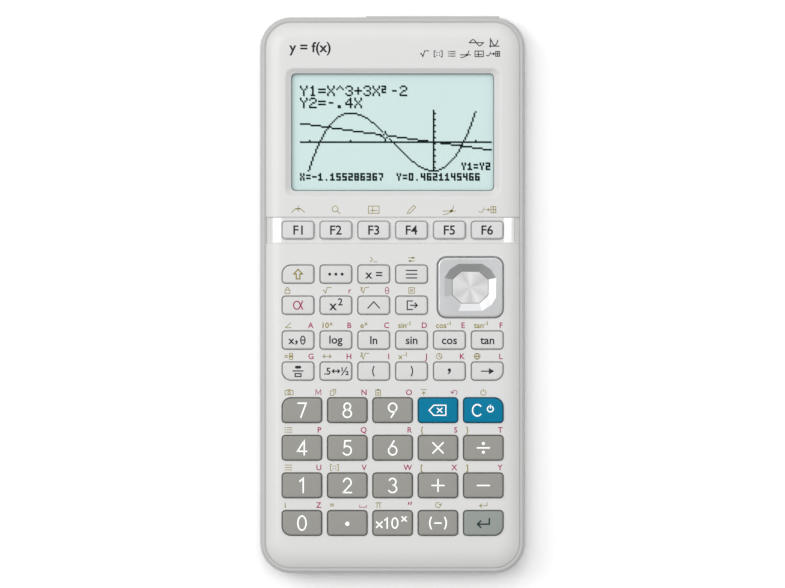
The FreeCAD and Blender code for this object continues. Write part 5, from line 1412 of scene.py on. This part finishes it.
DARK_INK = ink("dark_ink", linear(40, 42, 44))
WHITE_INK = ink("white_ink", linear(252, 252, 250))
GOLD_INK = ink("gold_ink", linear(132, 120, 30))
RED_INK = ink("magenta_ink", linear(150, 28, 84))
GREEN_INK = ink("deep_green_ink", linear(22, 48, 52))
print("ink stands", INK_RISE, "mm proud")

# %% [markdown]
# ## Legends on the keys
# A table says what stands on each key: the sign, its height in millimetres and its shift from the
# middle of the cap. The legend rides on the cap, and follows its crowned top, so that it goes down
# with the key when it is pressed.

# %% What the keys say
KEY_LEGENDS = {key: [(key[-2:].upper(), 2.8, 0, 0)] for key in FUNCTION_KEYS}
KEY_LEGENDS |= {f"key_{i}": [(str(i), 4.9, 0, 0)] for i in range(10)}
KEY_LEGENDS |= {
    "key_shift": [("up_arrow", 3.2, 0, 0)], "key_options": [("three_dots", 3.9, 0, 0)],
    "key_variables": [("x =", 2.7, 0, 0)], "key_menu": [("bars", 3.3, 0, 0)],
    "key_alpha": [("alpha", 3.1, 0, 0)], "key_square": [("x^2", 3.0, 0, 0)],
    "key_power": [("caret", 3.7, 0, 0)], "key_exit": [("leave", 3.0, 0, 0)],
    "key_angle_x": [("x", 2.4, -2.1, 0), ("comma", 2.6, -0.5, -0.5), ("theta", 2.5, 1.5, 0)],
    "key_log": [("log", 2.45, 0, 0.15)], "key_ln": [("ln", 2.45, 0, 0)],
    "key_sin": [("sin", 2.45, 0, 0)], "key_cos": [("cos", 2.45, 0, 0)], "key_tan": [("tan", 2.45, 0, 0)],
    "key_fraction": [("fraction", 3.8, 0, 0)],
    "key_convert": [(".5", 2.1, -2.7, 0), ("both_arrows", 1.9, 0, 0), ("½", 2.4, 2.8, 0)],
    "key_open_bracket": [("open_bracket", 3.0, 0, 0)], "key_close_bracket": [("close_bracket", 3.0, 0, 0)],
    "key_comma": [("comma", 3.4, 0, 0.3)], "key_store": [("right_arrow", 2.3, 0, 0)],
    "key_delete": [("erase", 3.3, 0, 0)],
    "key_all_clear": [("clear", 3.6, -1.9, 0), ("power", 2.3, 2.2, 0.5)],
    "key_times": [("times", 3.7, 0, 0)], "key_divide": [("divide", 3.8, 0, 0)],
    "key_plus": [("plus", 3.8, 0, 0)], "key_minus": [("minus", 3.8, 0, 0)],
    "key_point": [("point", 1.35, 0, -0.2)],
    "key_exponent": [("times", 2.0, -4.2, -0.5), ("1", 3.6, -2.0, 0), ("0", 3.6, 0.7, 0),
                     ("times", 1.5, 3.6, 1.3)],
    "key_negative": [("negative", 3.6, 0, 0)], "key_execute": [("enter", 3.4, 0, 0)],
}
LEGEND_INKS = {"key_shift": GOLD_INK, "key_alpha": RED_INK, "key_execute": GREEN_INK}
THIN_PEN, WIDE_PEN = 0.36, 0.45
FINER = {"erase": 0.34, "power": 0.34, "clear": 0.42}
BIG_KEYS = [node for node in KEYS if slots[node] in ("grey_key_plastic", "teal_key_plastic")]


def legend_on_cap(node, pen):
    """The flat solids of a key's legend, laid on its crowned top."""
    middle, half, _, _, top = PLACES[node]

    def crowned(plan):
        return crown_height(plan, middle, half, top)

    shapes = []
    for what, height, right, up in KEY_LEGENDS[node]:
        shapes += laid(legend(what, height, FINER.get(what, pen)), middle + (right, up), crowned)
    return shapes


for node in KEY_LEGENDS:
    big = node in BIG_KEYS
    shapes = legend_on_cap(node, WIDE_PEN if big else THIN_PEN)
    colour = LEGEND_INKS.get(node, WHITE_INK if big else DARK_INK)
    piece(f"{node}_legend", shapes, colour, f"{node}_cap", smooth=30)
print("legends on keys:", len(KEY_LEGENDS))

# %% A fine dark line round the floor of the pad's dish, painted shade in the crease under the facets


def level(height):
    """A level surface for a thin flat solid to lie on."""
    return lambda plan: np.full(len(plan), height)


# painted shade: a grey line where the facets meet the dish's floor
floor_crease_shade = stroke(np.concatenate([FLOOR, FLOOR[:1]]), 0.2)
crease_shade_solid = laid([floor_crease_shade], PAD_MIDDLE, level(PAD_TOP - DISH_DEPTH))
piece("pad_floor_line", crease_shade_solid, ink("crease_shade_grey", linear(112, 112, 114)), "cursor_top")
print("line points:", len(floor_crease_shade[0]))

# %% [markdown]
# ## Second legends on the face
# Each key has a second meaning, printed in gold on the face above it, and a letter, printed in
# magenta. All the gold ones are one piece and all the magenta ones another, because ink of one colour
# is printed in one pass.

# %% What the face says
SECOND_LEGENDS = {  # key: (gold, magenta)
    "key_f1": ("trace", ""), "key_f2": ("magnifier", ""), "key_f3": ("window", ""), "key_f4": ("pencil", ""),
    "key_f5": ("crossing", ""), "key_f6": ("graph_table", ""), "key_variables": ("prompt", ""),
    "key_menu": ("sliders", ""), "key_alpha": ("padlock", ""), "key_square": ("root", "r"),
    "key_power": ("any_root", "theta"), "key_exit": ("close", ""), "key_angle_x": ("angle", "A"),
    "key_log": ("10^x", "B"), "key_ln": ("e^x", "C"), "key_sin": ("sin^-1", "D"), "key_cos": ("cos^-1", "E"),
    "key_tan": ("tan^-1", "F"), "key_fraction": ("mixed", "G"), "key_convert": ("both_arrows", "H"),
    "key_open_bracket": ("cube_root", "I"), "key_close_bracket": ("x^-1", "J"), "key_comma": ("whole", "K"),
    "key_store": ("globe", "L"), "key_7": ("camera", "M"), "key_8": ("pages", "N"),
    "key_9": ("clipboard", "O"), "key_delete": ("insert", "undo"), "key_all_clear": ("power", ""),
    "key_4": ("list", "P"), "key_5": ("", "Q"), "key_6": ("", "R"), "key_times": ("{", "S"),
    "key_divide": ("}", "T"), "key_1": ("bars", "U"), "key_2": ("matrix", "V"), "key_3": ("", "W"),
    "key_plus": ("[", "X"), "key_minus": ("]", "Y"),
    "key_0": ("i", "Z"), "key_point": ("=", "gap"), "key_exponent": ("pi", "quotes"),
    "key_negative": ("again", ""), "key_execute": ("enter", ""),
}
LABEL_HEIGHT, SIGN_HEIGHT, WIDE_SIGN_HEIGHT = 1.7, 2.1, 2.7
LABEL_PEN = 0.2
GOLD_INDENT = 0.65
ABOVE_FUNCTION_KEY, ABOVE_BIG_KEY, ABOVE_SMALL_KEY = 6.4, 5.63, 4.65  # from the key's middle
CENTRED = {"key_variables", "key_menu", "key_exit", "key_all_clear", "key_negative", "key_execute",
           *FUNCTION_KEYS}


def second_legend(node, what, side):
    """The flat solids of one legend over a key: at its left (side -1) or right (side 1) end, or centred."""
    middle, half = PLACES[node][:2]
    if node in FUNCTION_KEYS:
        size, above = WIDE_SIGN_HEIGHT, ABOVE_FUNCTION_KEY
    else:
        size = SIGN_HEIGHT if what in SIGNS_DRAWN else LABEL_HEIGHT
        above = ABOVE_BIG_KEY if node in BIG_KEYS else ABOVE_SMALL_KEY
    shapes = legend(what, size, LABEL_PEN)
    reach = np.concatenate([points for points, _ in shapes])[:, 0]
    x = half[0] - reach.max() if side > 0 else -half[0] + GOLD_INDENT - reach.min()
    return laid(shapes, middle + (0.0 if node in CENTRED else x, above), face)


gold, red = [], []
for node, (left, right) in SECOND_LEGENDS.items():
    gold += second_legend(node, left, -1) if left else []
    red += second_legend(node, right, 1) if right else []
piece("face_legends_gold", gold, GOLD_INK, smooth=30)
piece("face_legends_magenta", red, RED_INK, smooth=30)
print("gold solids:", len(gold), "magenta solids:", len(red))

# %% [markdown]
# ## Generic marks above the display
# The place above the display is printed too. The general form of a function stands at the left. At the
# right are a wave and a pair of axes with a curve, over a row of six of the signs that the keys use.
# The display window has a fine grey line round it, where it meets the slope.

# %% Marks
MARK_LINE, SIGN_LINE = 79.4, 75.9
AXES = [line((-0.5, -0.4), (0.6, -0.4)), line((-0.4, -0.5), (-0.4, 0.5)), arc(0.1, 0.9, 0.42, 1.2, -150, -30)]
turns = np.linspace(0, 2 * np.pi, 40)
RIPPLE = [np.stack([turns / 4, 0.36 * np.sin(turns)], -1), line((-0.08, 0), (1.65, 0))]
SIGN_ROW = ("root", "matrix", "list", "crossing", "window", "graph_table")

marks = laid(legend("y = f(x)", 3.0, 0.6), (-26.0, 78.0), face)
marks += laid(drawn(AXES, 2.7, 0.32), (31.8, MARK_LINE), face)
marks += laid(drawn(RIPPLE, 2.7, 0.3), (24.2, MARK_LINE), face)
for i, what in enumerate(SIGN_ROW):
    marks += laid(drawn(SIGNS_DRAWN[what], 2.1, 0.28), (10.0 + 4.3 * i, SIGN_LINE), face)
piece("face_marks", marks, DARK_INK, smooth=30)
print("marks:", len(marks), "solids")

# %% A line round the window
BORDER_INSET, BORDER_PEN = 0.16, 0.26
border = rounded_loop(WINDOW_MIDDLE, WINDOW_HALF - BORDER_INSET, WINDOW_CORNER, arc=8, side=30)
around_window = stroke(np.concatenate([border, border[:1]]), BORDER_PEN)
border_line = laid([around_window], (0, 0), level(window_high[2]))
piece("window_border", border_line, ink("window_edge_grey", linear(112, 124, 124)), smooth=30)
print("border points:", len(around_window[0]))

# %% [markdown]
# ## Finishes for the parts that stay as they are
# The rear cover, the battery cover, the feet, the screws and everything inside keep their exact CAD
# shape and only get a finish. The rear is moulded in a mould with an eroded, sand-like grain, so its
# relief is deeper than the painted front's. Springs and screws are plated steel. The circuit board has
# a green mask, which is why its colour drifts more than plastic does. The window is clear and thin, so
# it is simply almost transparent: its faint dark tint and its sharp reflection are all that shows.

# %% Finishes of the carried-over parts
REAR = moulded("eroded_rear", linear(186, 187, 188), 0.62, grains=2600, depth=0.03)
PLATED = moulded("plated_steel", linear(190, 188, 182), 0.28, spread=0.2, grains=5000, depth=0.002,
                 Metallic=0.9)
CAD_FINISHES = {
    "rear_cover": REAR, "battery_cover": REAR,
    "screws": PLATED, "port_sockets": PLATED, "battery_contacts": PLATED,
    "cursor_pad_rocker": moulded("rocker_plastic", linear(120, 121, 122), 0.5, grains=3000, depth=0.01),
    "rubber_feet": moulded("black_rubber", linear(38, 38, 40), 0.8, grains=3500, depth=0.02),
    "key_mat": moulded("silicone_mat", linear(206, 208, 204), 0.55, drift=0.06, grains=2500, depth=0.005),
    "main_board": moulded("board_mask", linear(24, 92, 56), 0.35, drift=0.25, grains=1200, depth=0.01),
    "batteries": moulded("battery_jacket", linear(70, 74, 82), 0.3, drift=0.1, grains=1500, depth=0.002,
                         Coat_Weight=0.4),
    "display_window": moulded("clear_window", linear(36, 42, 42), 0.04, drift=0.0, spread=0.02, grains=900,
                              depth=0.0002, Alpha=0.08),
}
for node, material in CAD_FINISHES.items():
    holder = frame["nodes"][node]
    holder.data.materials.clear()
    holder.data.materials.append(material)
print("finishes given to", ", ".join(sorted(CAD_FINISHES)))

# %% [markdown]
# ## The studio
# The object lies on its back on a pale table and is looked at from straight above through a very long
# lens, which keeps its sides from leaning. Most of the light comes from a lamp right above, which
# leaves no highlight, because a mirror image of it would wash out the face. Three lamps in a half ring
# give the reflections: a strong one at the left for the soft fall of light from left to right, and two
# weak ones at the top and the right, which are what the facets of the cursor pad mirror.

# %% Floor, lamps and camera
VIEW_WIDTH = 0.2468
LENS, SENSOR = 400.0, 36.0
CAMERA_SHIFT = (-0.00005, 0.0004)
WORLD_STRENGTH = 0.25


def floor_sheet(half=1.6, floor=0.0):
    """A flat pale sheet just under the feet."""
    grid = np.linspace(-half, half, 9) / MM
    x, y = np.meshgrid(grid, grid, indexing="ij")
    mesh = mesh_from("floor", [skin(np.stack([x, y, np.full(x.shape, floor)], -1), closed=False)])
    pale = moulded("pale_table", (0.98, 0.98, 0.98, 1.0), 0.6, drift=0.0, grains=900, depth=0.01)
    mesh.materials.append(pale)
    made = add_object("floor", mesh)


def lamp(name, place, size, power, mirrored=True):
    """A square lamp turned towards the object; one that is not mirrored lights it without a highlight."""
    light = bpy.data.lights.new(name, "AREA")
    light.shape, light.size, light.energy = "SQUARE", size, power
    made = add_object(name, light)
    made.location = place
    x, y, z = -np.array(place)
    made.rotation_euler = (math.pi / 2 + math.atan2(z, math.hypot(x, y)), 0, math.atan2(y, x) - math.pi / 2)
    made.visible_glossy = mirrored
    made.visible_camera = False


floor_sheet()
lamp("side_lamp", (-0.9, 0.38, 1.15), 0.9, 8.2)
lamp("top_lamp", (0.0, 0.95, 1.15), 0.9, 3.5)
lamp("fill_lamp", (0.86, 0.36, 1.15), 0.9, 2.1)
lamp("ceiling_lamp", (-0.05, 0.05, 1.6), 1.0, 14.9, mirrored=False)

world = bpy.data.worlds.new("studio")
bpy.context.scene.world = world
world.use_nodes = True
world.node_tree.nodes["Background"].inputs["Color"].default_value = (1, 1, 1, 1)
world.node_tree.nodes["Background"].inputs["Strength"].default_value = WORLD_STRENGTH

bpy.context.scene.view_settings.view_transform = "Standard"

camera_data = bpy.data.cameras.new("camera")
camera_data.lens, camera_data.sensor_width = LENS, SENSOR
camera = add_object("camera", camera_data)
camera.location = (*CAMERA_SHIFT, FACE_TOP * MM + VIEW_WIDTH * LENS / SENSOR)
bpy.context.scene.camera = camera
print("camera height:", round(camera.location.z, 3))
